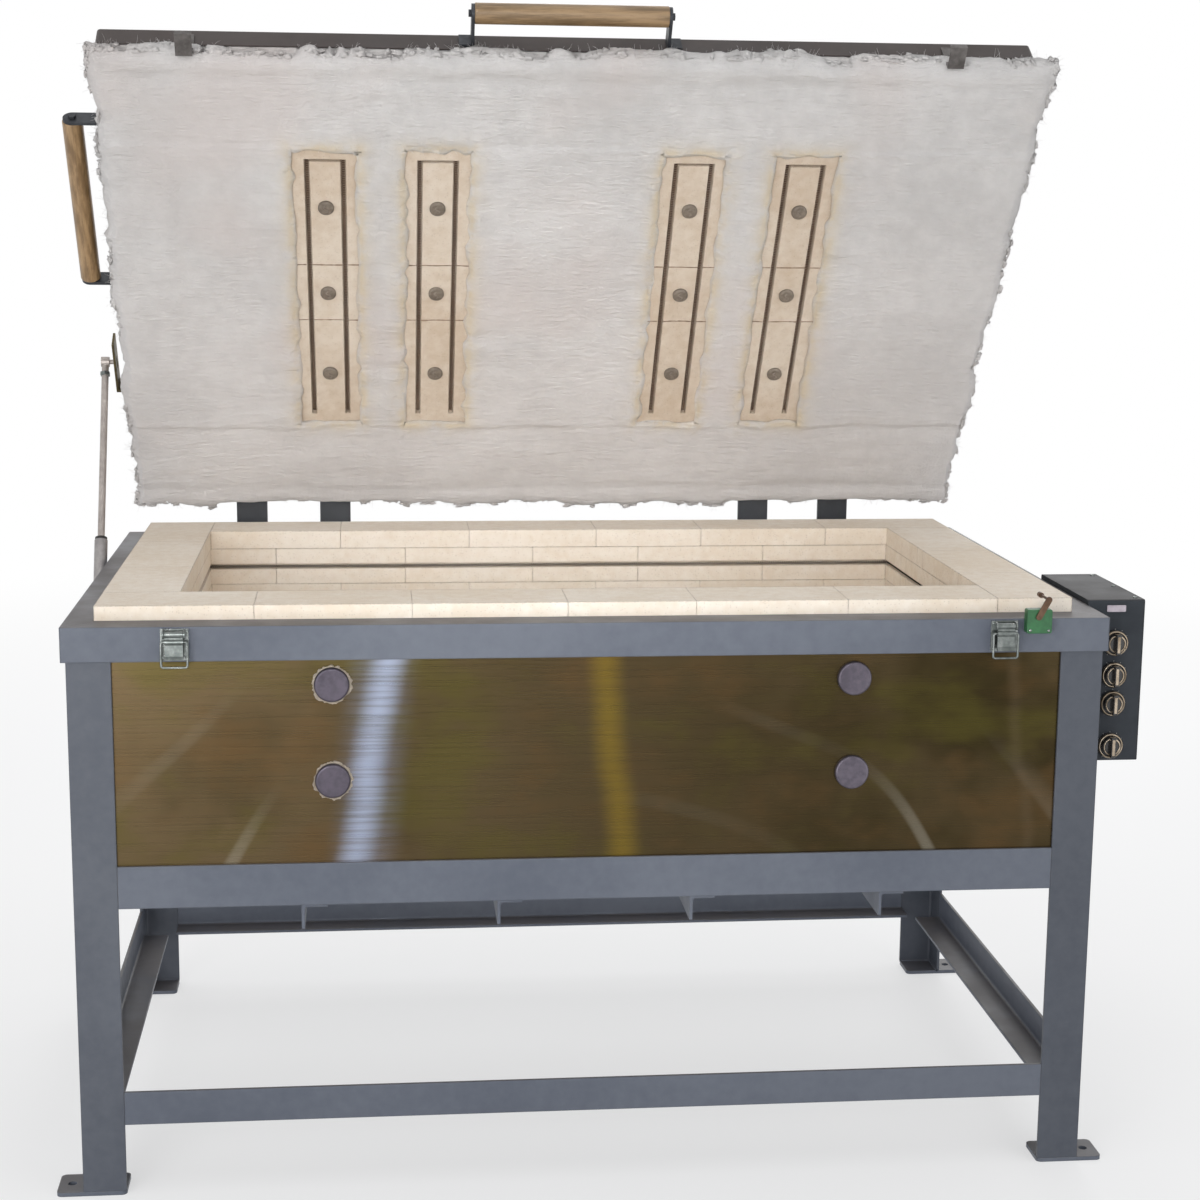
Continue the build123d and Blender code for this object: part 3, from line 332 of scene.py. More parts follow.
# shader node groups: each function makes a group's nodes from what the group is given

socketKinds = {"Normal": "Vector", "Color": "Color", "Light": "Color", "Dark": "Color"}


def makeGroup(name, inputs, outputs, build):
    tree = bpy.data.node_groups.new(name, "ShaderNodeTree")
    for side, labels in (("INPUT", inputs), ("OUTPUT", outputs)):
        for label in labels:
            kind = "NodeSocket" + socketKinds.get(label, "Float")
            socket = tree.interface.new_socket(name=label, in_out=side, socket_type=kind)
            if side == "INPUT":
                socket.default_value = inputs[label]
    source = tree.nodes.new("NodeGroupInput")
    sink = tree.nodes.new("NodeGroupOutput")
    for label, value in zip(outputs, build(tree, source.outputs)):
        tree.links.new(value, sink.inputs[label])
    return tree


def findEdges(tree, given):
    # where a surface turns sharply: a rounded normal is compared with the flat one
    rounded = addNode(tree, "Bevel", {"Radius": given["Radius"]}, samples=6).outputs[0]
    flat = addNode(tree, "NewGeometry").outputs["Normal"]
    dot = addNode(tree, "VectorMath", {0: rounded, 1: flat}, operation="DOT_PRODUCT")
    return addRange(tree, dot.outputs["Value"], 0.75, 0.995, 1.0, 0.0), rounded


def blendMottle(tree, given):
    # two colours blended by broad and fine noise, as on paint, brick or cloth that has aged
    coords = objectCoords(tree)
    broad = addNoise(tree, coords, given["Broad"], 3)
    fine = addNoise(tree, coords, given["Fine"], 6)
    blend = addNode(tree, "Mix", {0: given["Fine Share"], 2: broad, 3: fine})
    mask = addRange(tree, blend.outputs[0], 0.32, 0.68)
    return addMix(tree, mask, given["Dark"], given["Light"]), mask


def scatterPits(tree, given):
    # small sharp holes in a share of the cells of a porous surface, and the grain between them
    coords = objectCoords(tree)
    cells = addNode(tree, "TexVoronoi", {"Vector": coords, "Scale": given["Scale"]}).outputs
    pick = addNode(tree, "SeparateColor", {0: cells["Color"]}).outputs[0]
    kept = addMath(tree, "LESS_THAN", pick, given["Share"])
    pit = addProduct(tree, addRange(tree, cells["Distance"], 0.12, 0.42, 1.0, 0.0), kept)
    grain = addNoise(tree, coords, given["Scale"], 5, 0.7)
    return pit, addMath(tree, "SUBTRACT", grain, pit)


def drawBrushing(tree, given):
    # fine lines drawn along X, with broad soft stains and thin curved scratches over them
    coords = objectCoords(tree)
    axes = splitAxes(tree, coords)
    shares = (given["Along"], given["Lines"], given["Lines"])
    pressed = addNode(tree, "CombineXYZ", {
        i: addProduct(tree, axes[i], share) for i, share in enumerate(shares)})
    arcs = addNode(tree, "TexWave", {
        "Vector": coords, "Scale": 1.9, "Distortion": 7.0, "Detail": 1.0, "Detail Scale": 0.8,
    }, wave_type="RINGS", rings_direction="Y")
    thin = addRange(tree, arcs.outputs["Fac"], 0.94, 1.0)
    patch = addRange(tree, addNoise(tree, coords, 1.6, 1), 0.44, 0.6)
    line = addNoise(tree, pressed.outputs[0], 1.0, 2)
    stain = addNoise(tree, coords, 5.0, 3, 0.6)
    return line, stain, addProduct(tree, thin, patch)


groups = {
    "edgeFinder": makeGroup("edgeFinder", {"Radius": 0.002}, ("Edge", "Normal"), findEdges),
    "mottle": makeGroup("mottle", {
        "Light": (1, 1, 1, 1), "Dark": (0, 0, 0, 1), "Broad": 3.0, "Fine": 40.0, "Fine Share": 0.35,
    }, ("Color", "Mask"), blendMottle),
    "pits": makeGroup("pits", {"Scale": 300.0, "Share": 0.3}, ("Pit", "Height"), scatterPits),
    "brushedLines": makeGroup("brushedLines", {"Lines": 900.0, "Along": 6.0},
                              ("Line", "Stain", "Scratch"), drawBrushing),
}


def useGroup(tree, name, **values):
    inputs = {label.replace("_", " "): value for label, value in values.items()}
    return addNode(tree, "Group", inputs, node_tree=groups[name]).outputs


# finishes: each function makes a material, and its colours are as an image shows them


def newMaterial(name, **values):
    # a material with some of its shader's inputs set by name
    material = bpy.data.materials.new(name)
    material.use_nodes = True
    tree = material.node_tree
    shader = tree.nodes["Principled BSDF"].inputs
    for label, value in values.items():
        shader[label.replace("_", " ")].default_value = value
    return material, tree, shader


def addBump(tree, shader, height, strength, distance, normal=None):
    inputs = {"Height": height, "Strength": strength, "Distance": distance}
    if normal is not None:
        inputs["Normal"] = normal
    tree.links.new(addNode(tree, "Bump", inputs).outputs[0], shader["Normal"])


def paintedMetal(name, light, dark, worn, roughness=0.42, dusty=0.6):
    # sprayed paint: soft tone changes, rubbed edges, and warm dust on what faces up
    wear, dustColour = 0.4, (104, 96, 90)
    material, tree, shader = newMaterial(name, Roughness=roughness, Specular_IOR_Level=0.3)
    tone = useGroup(tree, "mottle", Light=light, Dark=dark, Broad=2.4, Fine=55.0, Fine_Share=0.3)
    edges = useGroup(tree, "edgeFinder", Radius=0.0025)
    coords = objectCoords(tree)
    rub = addRange(tree, addNoise(tree, coords, 45.0, 6, 0.7), 0.42, 0.66)
    rubbed = addMix(tree, addProduct(tree, edges["Edge"], rub, wear), tone["Color"], worn)
    dust = addNoise(tree, coords, 9.0, 5)
    facing = splitAxes(tree, addNode(tree, "NewGeometry").outputs["Normal"])[2]
    upward = addProduct(tree, addRange(tree, facing, 0.5, 0.95),
                        addRange(tree, dust, 0.3, 0.6, 0.55 * dusty, dusty))
    tree.links.new(addMix(tree, upward, rubbed, dustColour), shader["Base Color"])
    tree.links.new(addRange(tree, dust, 0.3, 0.7, roughness - 0.07, roughness + 0.12),
                   shader["Roughness"])
    addBump(tree, shader, addNoise(tree, coords, 420.0, 3), 0.12, 0.0006, edges["Normal"])
    return material


def porousBrick(name, light, dark, joint):
    # insulating firebrick: cream tones, pits darkened as painted shade, and darker chipped edges
    # that draw the joints
    pitShare, edgeShare = 0.24, 0.8
    material, tree, shader = newMaterial(name, Roughness=0.92, Specular_IOR_Level=0.2)
    tone = useGroup(tree, "mottle", Light=light, Dark=dark, Broad=5.0, Fine=60.0, Fine_Share=0.45)
    pits = useGroup(tree, "pits", Scale=330.0, Share=0.24)
    edges = useGroup(tree, "edgeFinder", Radius=0.0032)
    chips = addRange(tree, addNoise(tree, objectCoords(tree), 120.0, 5, 0.7), 0.3, 0.62)
    # painted shade: each pit is darkened towards the joint colour
    pitted = addMix(tree, addProduct(tree, pits["Pit"], pitShare), tone["Color"], joint)
    edged = addMix(tree, addProduct(tree, edges["Edge"], chips, edgeShare), pitted, joint)
    tree.links.new(edged, shader["Base Color"])
    addBump(tree, shader, pits["Height"], 0.28, 0.0012, edges["Normal"])
    return material


def fibreWool(name, light, dark, tint, halo):
    # ceramic fibre: near white, with weak warm tints that grow downwards, a yellow cast where the
    # piece's own halo value is high, and a soft tangled grain
    material, tree, shader = newMaterial(
        name, Roughness=0.95, Sheen_Weight=0.25, Specular_IOR_Level=0.1)
    tone = useGroup(tree, "mottle", Light=light, Dark=dark, Broad=4.0, Fine=38.0, Fine_Share=0.4)
    coords = objectCoords(tree)
    blush = addRange(tree, addNoise(tree, coords, 2.6, 2), 0.46, 0.66, 0.0, 0.5)
    low = addRange(tree, splitAxes(tree, coords)[2], 1.62, 1.0, 0.0, 0.2)
    warm = addMix(tree, addMath(tree, "MAXIMUM", blush, low), tone["Color"], tint)
    near = addNode(tree, "Attribute", attribute_name="halo").outputs["Fac"]
    patches = addRange(tree, addNoise(tree, coords, 24.0, 3), 0.3, 0.62, 0.15, 0.75)
    tree.links.new(addMix(tree, addProduct(tree, near, patches), warm, halo), shader["Base Color"])
    tangle = addNoise(tree, coords, 150.0, 9, 0.75)
    strands = addNoise(tree, coords, 34.0, 8, 0.7, stretch=(1.0, 5.0, 5.0))
    grain = addMath(tree, "ADD", tangle, addProduct(tree, strands, 1.6))
    addBump(tree, shader, grain, 0.85, 0.006)
    return material


def sheetMetal(name, light, dark, stains, roughness=0.3, reflectionStreaks=()):
    # rolled sheet: fine lines along X, stains and scratches, painted shade towards +X, and painted
    # reflection bands
    scratchColour = (0.45, 0.42, 0.34, 1)
    material, tree, shader = newMaterial(name, Metallic=0.92, Roughness=roughness)
    brush = useGroup(tree, "brushedLines", Lines=520.0, Along=5.0)
    coords = objectCoords(tree)
    # painted shade: the sheet goes from its light tone on the left to its dark tone on the right
    across = addRange(tree, splitAxes(tree, coords)[0], -0.7, 0.75)
    stain = addRange(tree, brush["Stain"], 0.4, 0.66, 0.0, 0.8)
    warmth = addNoise(tree, coords, 3.4, 4, 0.6, stretch=(1.0, 1.0, 1.6))
    colour = addMix(tree, across, light, dark)
    colour = addMix(tree, stain, colour, addMix(tree, 0.5, dark, light))
    colour = addMix(tree, addRange(tree, warmth, 0.48, 0.66, 0.0, 0.5), colour, stains[0])
    colour = addMix(tree, addRange(tree, warmth, 0.5, 0.32, 0.0, 0.5), colour, stains[1])
    colour = addMix(tree, addProduct(tree, brush["Scratch"], 0.26), colour, scratchColour)
    # painted reflections: each streak of reflected light is mixed into the sheet's colour
    for band in reflectionStreaks:
        colour = addReflectionStreak(tree, coords, band, colour)
    tree.links.new(colour, shader["Base Color"])
    tree.links.new(addRange(tree, brush["Line"], 0.3, 0.7, roughness - 0.02, roughness + 0.05),
                   shader["Roughness"])
    addBump(tree, shader, brush["Line"], 0.04, 0.0003)
    return material


def addReflectionStreak(tree, coords, band, colour):
    # one painted reflection streak: a soft upright band whose middle leans and wavers with height,
    # its lines show through
    axes = splitAxes(tree, coords)
    waver = addNoise(tree, coords, 4.0, 2, 0.5, stretch=(0.0, 0.0, 1.0))
    sway = addProduct(tree, addMath(tree, "SUBTRACT", waver, 0.5), band["waver"])
    lean = addProduct(tree, addMath(tree, "SUBTRACT", axes[2], band["z"]), band["lean"])
    middle = addMath(tree, "ADD", sway, addMath(tree, "ADD", lean, band["x"]))
    off = addMath(tree, "ABSOLUTE", addMath(tree, "SUBTRACT", axes[0], middle))
    core = addRange(tree, off, 0.0, band["width"], 1.0, 0.0)
    fine = addNoise(tree, coords, 260.0, 2, 0.5, stretch=(0.02, 1.0, 1.0))
    lines = addRange(tree, fine, 0.35, 0.6, 1 - band["lines"], 1.0)
    return addMix(tree, addProduct(tree, core, lines, band["share"]), colour, band["colour"])


def plainGloss(name, light, dark, metallic, roughness, fine=90.0, bump=0.05, coat=0.0):
    # plated, moulded or cast trim: two close tones, uneven gloss and a faint surface
    material, tree, shader = newMaterial(
        name, Metallic=metallic, Roughness=roughness, Coat_Weight=coat)
    tone = useGroup(tree, "mottle", Light=light, Dark=dark, Broad=18.0, Fine=fine, Fine_Share=0.5)
    edges = useGroup(tree, "edgeFinder", Radius=0.0008)
    tree.links.new(tone["Color"], shader["Base Color"])
    tree.links.new(addRange(tree, tone["Mask"], 0.0, 1.0, roughness + 0.1, roughness),
                   shader["Roughness"])
    grain = addNoise(tree, objectCoords(tree), 500.0, 4)
    addBump(tree, shader, grain, bump, 0.0005, edges["Normal"])
    return material


def turnedWood(name, light, dark, stretch):
    # long grain along the grip, darker pores, and a satin coat
    material, tree, shader = newMaterial(
        name, Roughness=0.42, Coat_Weight=0.25, Coat_Roughness=0.3)
    coords = objectCoords(tree)
    grain = addNoise(tree, coords, 1.0, 6, 0.65, stretch=stretch)
    tone = addMix(tree, addRange(tree, grain, 0.34, 0.66), dark, light)
    pores = addRange(tree, addNoise(tree, coords, 5.0, 3, 0.5, stretch=stretch), 0.6, 0.7)
    tree.links.new(addMix(tree, addProduct(tree, pores, 0.35), tone, dark), shader["Base Color"])
    addBump(tree, shader, grain, 0.2, 0.0006)
    return material


# painted reflections: bright upright streaks of reflected light on the front panel, painted into
# its colour
frontReflectionStreaks = (
    {"x": -0.322, "z": 0.70, "lean": 0.17, "waver": 0.06, "width": 0.036, "lines": 0.4,
     "share": 0.9, "colour": (158, 167, 188)},
    {"x": -0.336, "z": 0.56, "lean": 0.10, "waver": 0.02, "width": 0.062, "lines": 0.5,
     "share": 0.35, "colour": (140, 148, 168)},
    {"x": 0.026, "z": 0.66, "lean": -0.10, "waver": 0.06, "width": 0.036, "lines": 0.15,
     "share": 0.62, "colour": (128, 106, 40)},
    {"x": 0.640, "z": 0.66, "lean": -0.12, "waver": 0.10, "width": 0.016, "lines": 0.1,
     "share": 0.12, "colour": (120, 104, 84)},
)
# light, dark and stain tones of the steel panels: the brown tint is the steel's own, their darkness
# a painted reflection of a dark room
panelTones = ((94, 79, 56), (50, 42, 22), ((96, 72, 44), (84, 78, 34)))
finishes = {
    "frame_paint": paintedMetal("framePaint", (99, 104, 114), (84, 89, 100), (128, 125, 122)),
    "lid_paint": paintedMetal("lidPaint", (64, 55, 53), (50, 43, 42), (96, 90, 86), dusty=0.15),
    "hinge_paint": paintedMetal("hingePaint", (70, 72, 76), (54, 56, 60), (110, 108, 104)),
    "box_paint": paintedMetal("boxPaint", (50, 55, 61), (38, 42, 48), (88, 86, 84), 0.6, 0.25),
    "bright_sheet": sheetMetal("brightSheet", *panelTones, 0.28, frontReflectionStreaks),
    "pan_sheet": sheetMetal("panSheet", (150, 150, 152), (120, 120, 124),
                            ((140, 136, 128), (112, 112, 116)), 0.4),
    "firebrick": porousBrick("firebrick", (244, 235, 222), (232, 218, 199), (128, 104, 84)),
    "fibre_blanket": fibreWool("fibreBlanket", (234, 231, 229), (215, 212, 210),
                               (226, 214, 209), (226, 206, 168)),
    "backing_board": fibreWool("backingBoard", (214, 208, 196), (196, 190, 180),
                               (206, 196, 186), (206, 196, 186)),
    "element_wire": plainGloss("elementWire", (70, 60, 56), (38, 32, 32), 0.5, 0.6, 300.0, 0.2),
    "button_ceramic": plainGloss("buttonCeramic", (132, 121, 108), (98, 88, 78),
                                 0.0, 0.5, 160.0, 0.25),
    "grip_wood": turnedWood("gripWood", (152, 125, 91), (102, 80, 52), (8.0, 90.0, 90.0)),
    "dark_steel": plainGloss("darkSteel", (70, 72, 76), (48, 50, 54), 0.6, 0.42),
    "bright_zinc": plainGloss("brightZinc", (150, 154, 152), (98, 104, 102),
                              1.0, 0.24, 140.0, 0.08),
    # painted shade: this plug metal, on the left plugs, is kept darker than the right plugs' copy
    "plug_metal": plainGloss("plugMetal", (88, 82, 92), (64, 60, 69), 0.75, 0.36, 120.0, 0.2),
    "knob_plastic": plainGloss("knobPlastic", (34, 30, 28), (20, 18, 18),
                               0.0, 0.22, 120.0, 0.03, 0.5),
    "switch_green": plainGloss("switchGreen", (44, 104, 60), (30, 76, 44), 0.0, 0.38, 120.0, 0.05),
    "switch_lever_metal": plainGloss("switchLeverMetal", (112, 88, 70), (78, 58, 46), 0.7, 0.4),
    "spring_tube": plainGloss("springTube", (160, 156, 154), (132, 128, 128), 0.4, 0.35),
    "spring_rod": plainGloss("springRod", (176, 168, 162), (150, 142, 138), 0.6, 0.3),
    "switch_body_plastic": plainGloss("switchBodyPlastic", (44, 44, 44), (32, 32, 32), 0.0, 0.5),
    "gland_plastic": plainGloss("glandPlastic", (60, 60, 62), (44, 44, 46), 0.0, 0.5),
}
ownFinishes = {
    ("side_handle_grip",): turnedWood("sideGripWood", (164, 134, 96), (112, 86, 54),
                                      (90.0, 14.0, 14.0)),
    ("spring_lid_bracket",): plainGloss("bracketBronze", (104, 93, 64), (72, 63, 42), 0.7, 0.42),
    ("lid_bricks",): porousBrick("lidBrick", (209, 197, 182), (192, 174, 154), (112, 92, 76)),
    ("side_panels", "panel_rear"): sheetMetal("plainPanel", *panelTones),
    # painted shade: the legs take darker copies of the frame paint, the right pair darker than the
    # left
    ("leg_front_left", "leg_rear_left"): paintedMetal(
        "leftLegShadedPaint", (90, 94, 102), (75, 79, 88), (118, 116, 114)),
    ("leg_front_right", "leg_rear_right"): paintedMetal(
        "rightLegDeeperShadedPaint", (82, 86, 94), (67, 71, 80), (118, 116, 114)),
    # painted light: the right plugs take this lighter copy of the plug metal
    ("peep_plug_2", "peep_plug_4"): plainGloss("rightPlugLitMetal", (104, 98, 108), (78, 73, 82),
                                               0.75, 0.36, 120.0, 0.2),
    ("latch_keepers",): plainGloss("dullKeeper", (120, 116, 114), (82, 78, 76), 0.6, 0.45),
}
slotOf = {part["node"]: part["material_slot"] for part in frame["record"]["subparts"]}
for nodeName, node in nodes.items():
    node.data.materials.clear()
    node.data.materials.append(finishes[slotOf[nodeName]])
for nodeNames, finish in ownFinishes.items():
    for nodeName in nodeNames:
        nodes[nodeName].data.materials[0] = finish
print("finishes are on the frame's nodes")

# shapes that several small pieces share


def lathe(profile, centre, axis, sides=20, ring=False):
    # turns a profile of (radius, height) round an axis: each point is the centre plus the height
    # along the axis plus the radius times the cosine and sine of the turn
    axis = unit(np.asarray(axis, float))
    helper = np.array([1.0, 0, 0]) if abs(axis[0]) < 0.9 else np.array([0, 1.0, 0])
    u = unit(np.cross(axis, helper))
    profile = np.asarray(profile, float)
    middle = np.asarray(centre) + profile[:, 1:] * axis
    points = rings(middle, u, np.cross(axis, u), profile[:, None, :1], sides)
    return points.reshape(-1, 3), barFaces(len(profile), sides, ring)


def tube(path, radius, up, sides=8):
    # a round bar along a line of points: each ring lies square to the line; the radius may change
    path = np.asarray(path, float)
    forward = unit(np.gradient(path, axis=0))
    side = unit(np.cross(forward, np.asarray(up, float)))
    size = np.broadcast_to(radius, len(path))[:, None, None]
    points = rings(path, side, np.cross(side, forward), size, sides)
    return points.reshape(-1, 3), barFaces(len(path), sides)


def slab(centre, along, across, depth):
    # a flat bar with trimmed corners: along and across are half sizes as vectors, depth its rise
    centre, along, across, depth = (np.asarray(v, float) for v in (centre, along, across, depth))
    outline = ((1, 0.8), (0.93, 1), (-0.93, 1), (-1, 0.8), (-1, -0.8), (-0.93, -1), (0.93, -1),
               (1, -0.8))
    low = np.array([centre + a * along + b * across for a, b in outline])
    points = np.concatenate([low, low + depth])
    faces = [list(range(8))[::-1], list(range(8, 16))]
    faces += [[i, (i + 1) % 8, (i + 1) % 8 + 8, i + 8] for i in range(8)]
    return points, faces


# the fibre blanket of the lid: a lumpy slab with torn edges and a pocket for each brick strip
# layers of noise are given as height, cell size and seed

blanketSetup = {
    "leftReach": 0.748, "rightReach": 0.756, "frontReach": 0.440, "rearReach": 0.487,
    "edgeStep": 0.0032, "openStep": 0.0078, "edgeBand": 0.038, "pocketBand": 0.016,
    "rise": 0.0040,
    "lumps": ((0.0014, 0.190, 11), (0.0013, 0.062, 12), (0.0014, 0.026, 13), (0.0006, 0.011, 14)),
    "wrinkles": ((0.22, ((0.0017, 0.021, 18),)), (0.3, ((0.0009, 0.011, 19),))),  # share of X
    "creases": (  # place along the lid, depth, how far one side stands over the other
        (-0.394, 0.0048, 0.0010), (-0.282, 0.0028, 0.0018),
        (0.306, 0.0028, -0.0018), (0.446, 0.0048, -0.0010),
    ),
    "creaseWander": ((0.0035, 0.11, 15),), "creaseChange": ((0.35, 0.23, 16),),
    "creaseMean": 0.65, "creaseWide": 0.0042, "creaseStep": 0.004, "creaseFade": 0.05,
    "rollAt": 0.020, "rollWide": 0.013, "rollHigh": 0.0042, "rollChange": ((0.5, 0.045, 27),),
    "seams": (  # place across the lid, where the seam starts and ends along it, its step
        (-0.505, 0.02, 0.30, 0.0018), (-0.640, -0.24, 0.05, -0.0014),
        (0.545, -0.30, -0.02, 0.0018), (0.030, -0.28, 0.06, 0.0012),
    ),
    "seamWander": ((0.003, 0.09, 20),), "seamEnd": 0.02, "seamStep": 0.0035, "seamFade": 0.045,
    "ringAt": 0.014, "ringWide": 0.016, "ringRise": 0.0026, "ringChange": ((0.0030, 0.021, 17),),
    "lipDrop": 0.0028, "lipWide": 0.008, "edgeDrop": 0.0090, "edgeWide": 0.013,
    "tornBand": 0.020, "leftProud": 0.001, "frontTorn": 0.7, "rearProud": 0.004,
    "rearTorn": 0.25, "rearFreeTorn": 0.6,
    "tornSides": ((0.0065, 0.085, 21), (0.0035, 0.019, 22), (0.0026, 0.0085, 23)),
    "tornEnds": ((0.0065, 0.070, 24), (0.0050, 0.026, 25), (0.0028, 0.0085, 26)),
    "bulge": 0.0140, "bulgeSpan": (-0.30, 0.46),
    "posts": (-0.546, -0.393, 0.393, 0.546), "postClear": (0.044, 0.070),
    "overlap": 0.0115, "lapMean": 0.55, "lapChange": ((0.45, 0.017, 31),), "lapFade": 0.006,
    "lapReach": 0.02, "onEdge": 1e-6,
    "underGap": 0.0004, "sideGap": 0.0003, "seat": 0.0025, "shellGap": 0.0012, "skirtGap": 0.0008,
    "pocketDepth": 0.03, "puffStep": 0.004, "puff": 0.0045, "puffChange": ((0.0030, 0.016, 41),),
    "puffRough": ((0.0016, 0.010, 42),),
    "puffLayers": ((0.28, 0.7), (0.55, 1.0), (0.82, 0.8), (1.0, 0.25)),  # share of the way, growth
    "haloFade": 0.011,
}


def blanketLines(low, high, pockets):
    # grid lines from low to high: close together by the outer edges and the pocket edges
    setup = blanketSetup
    marks = sorted({low, high, *[p for pocket in pockets for p in pocket]})
    lines = [np.array([low])]
    for a, b in zip(marks[:-1], marks[1:]):
        nearA = setup["edgeBand"] if a == low else setup["pocketBand"]
        nearB = setup["edgeBand"] if b == high else setup["pocketBand"]
        fineA = np.arange(1, int(nearA / setup["edgeStep"]) + 1) * setup["edgeStep"] + a
        fineB = b - np.arange(int(nearB / setup["edgeStep"]), -1, -1) * setup["edgeStep"]
        count = max(2, int(round((fineB[0] - fineA[-1]) / setup["openStep"])))
        lines += [fineA, np.linspace(fineA[-1], fineB[0], count + 1)[1:-1], fineB]
    return np.concatenate(lines)


def pocketDistance(x, y):
    # how far a point is outside the nearest brick strip, and negative inside it
    best = np.full(x.shape, 9.0)
    for stripX in lid["stripX"]:
        dx = np.abs(x - stripX) - lid["stripHalfWidth"]
        dy = np.abs(y - lid["stripY"]) - lid["stripHalfLength"]
        outside = np.hypot(np.maximum(dx, 0), np.maximum(dy, 0))
        best = np.minimum(best, outside + np.minimum(np.maximum(dx, dy), 0))
    return best


def proudHeight(x, y, edge):
    # how far the wool stands out of the lid's face: lumps, wrinkles mostly along X, creases along
    # the lid, a rolled front and rear edge, seams across it, a swollen ring and a lip round each
    # strip, and a fall-off to the outer edge
    setup = blanketSetup
    height = setup["rise"] + noiseSum(x, y, setup["lumps"])
    for share, layers in setup["wrinkles"]:
        height = height + noiseSum(x * share, y, layers)
    for place, depth, stand in setup["creases"]:
        off = y - (noiseSum(x, place, setup["creaseWander"]) + place)
        depth = depth * (setup["creaseMean"] + noiseSum(x, place, setup["creaseChange"]))
        height = height - depth * np.exp(-(off / setup["creaseWide"]) ** 2)
        fade = np.exp(-(off / setup["creaseFade"]) ** 2)
        height = height + stand * np.tanh(off / setup["creaseStep"]) * fade
    for fromEnd in (y + setup["frontReach"], setup["rearReach"] - y):
        roll = setup["rollHigh"] * np.exp(-((fromEnd - setup["rollAt"]) / setup["rollWide"]) ** 2)
        height = height + roll * (1 + noiseSum(x, y, setup["rollChange"]))
    for place, start, end, step in setup["seams"]:
        off = x - place - noiseSum(place, y, setup["seamWander"])
        inside = smoothStep(y, start - setup["seamEnd"], start) * (
            1 - smoothStep(y, end, end + setup["seamEnd"]))
        fade = np.exp(-(off / setup["seamFade"]) ** 2)
        height = height + inside * step * np.tanh(off / setup["seamStep"]) * fade
    near = pocketDistance(x, y)
    ring = np.exp(-((near - setup["ringAt"]) / setup["ringWide"]) ** 2)
    height = height + ring * (setup["ringRise"] + noiseSum(x, y, setup["ringChange"]))
    height = height - setup["lipDrop"] * (1 - smoothStep(near, 0.0, setup["lipWide"]))
    return height - setup["edgeDrop"] * (1 - smoothStep(edge, 0.0, setup["edgeWide"])) ** 2


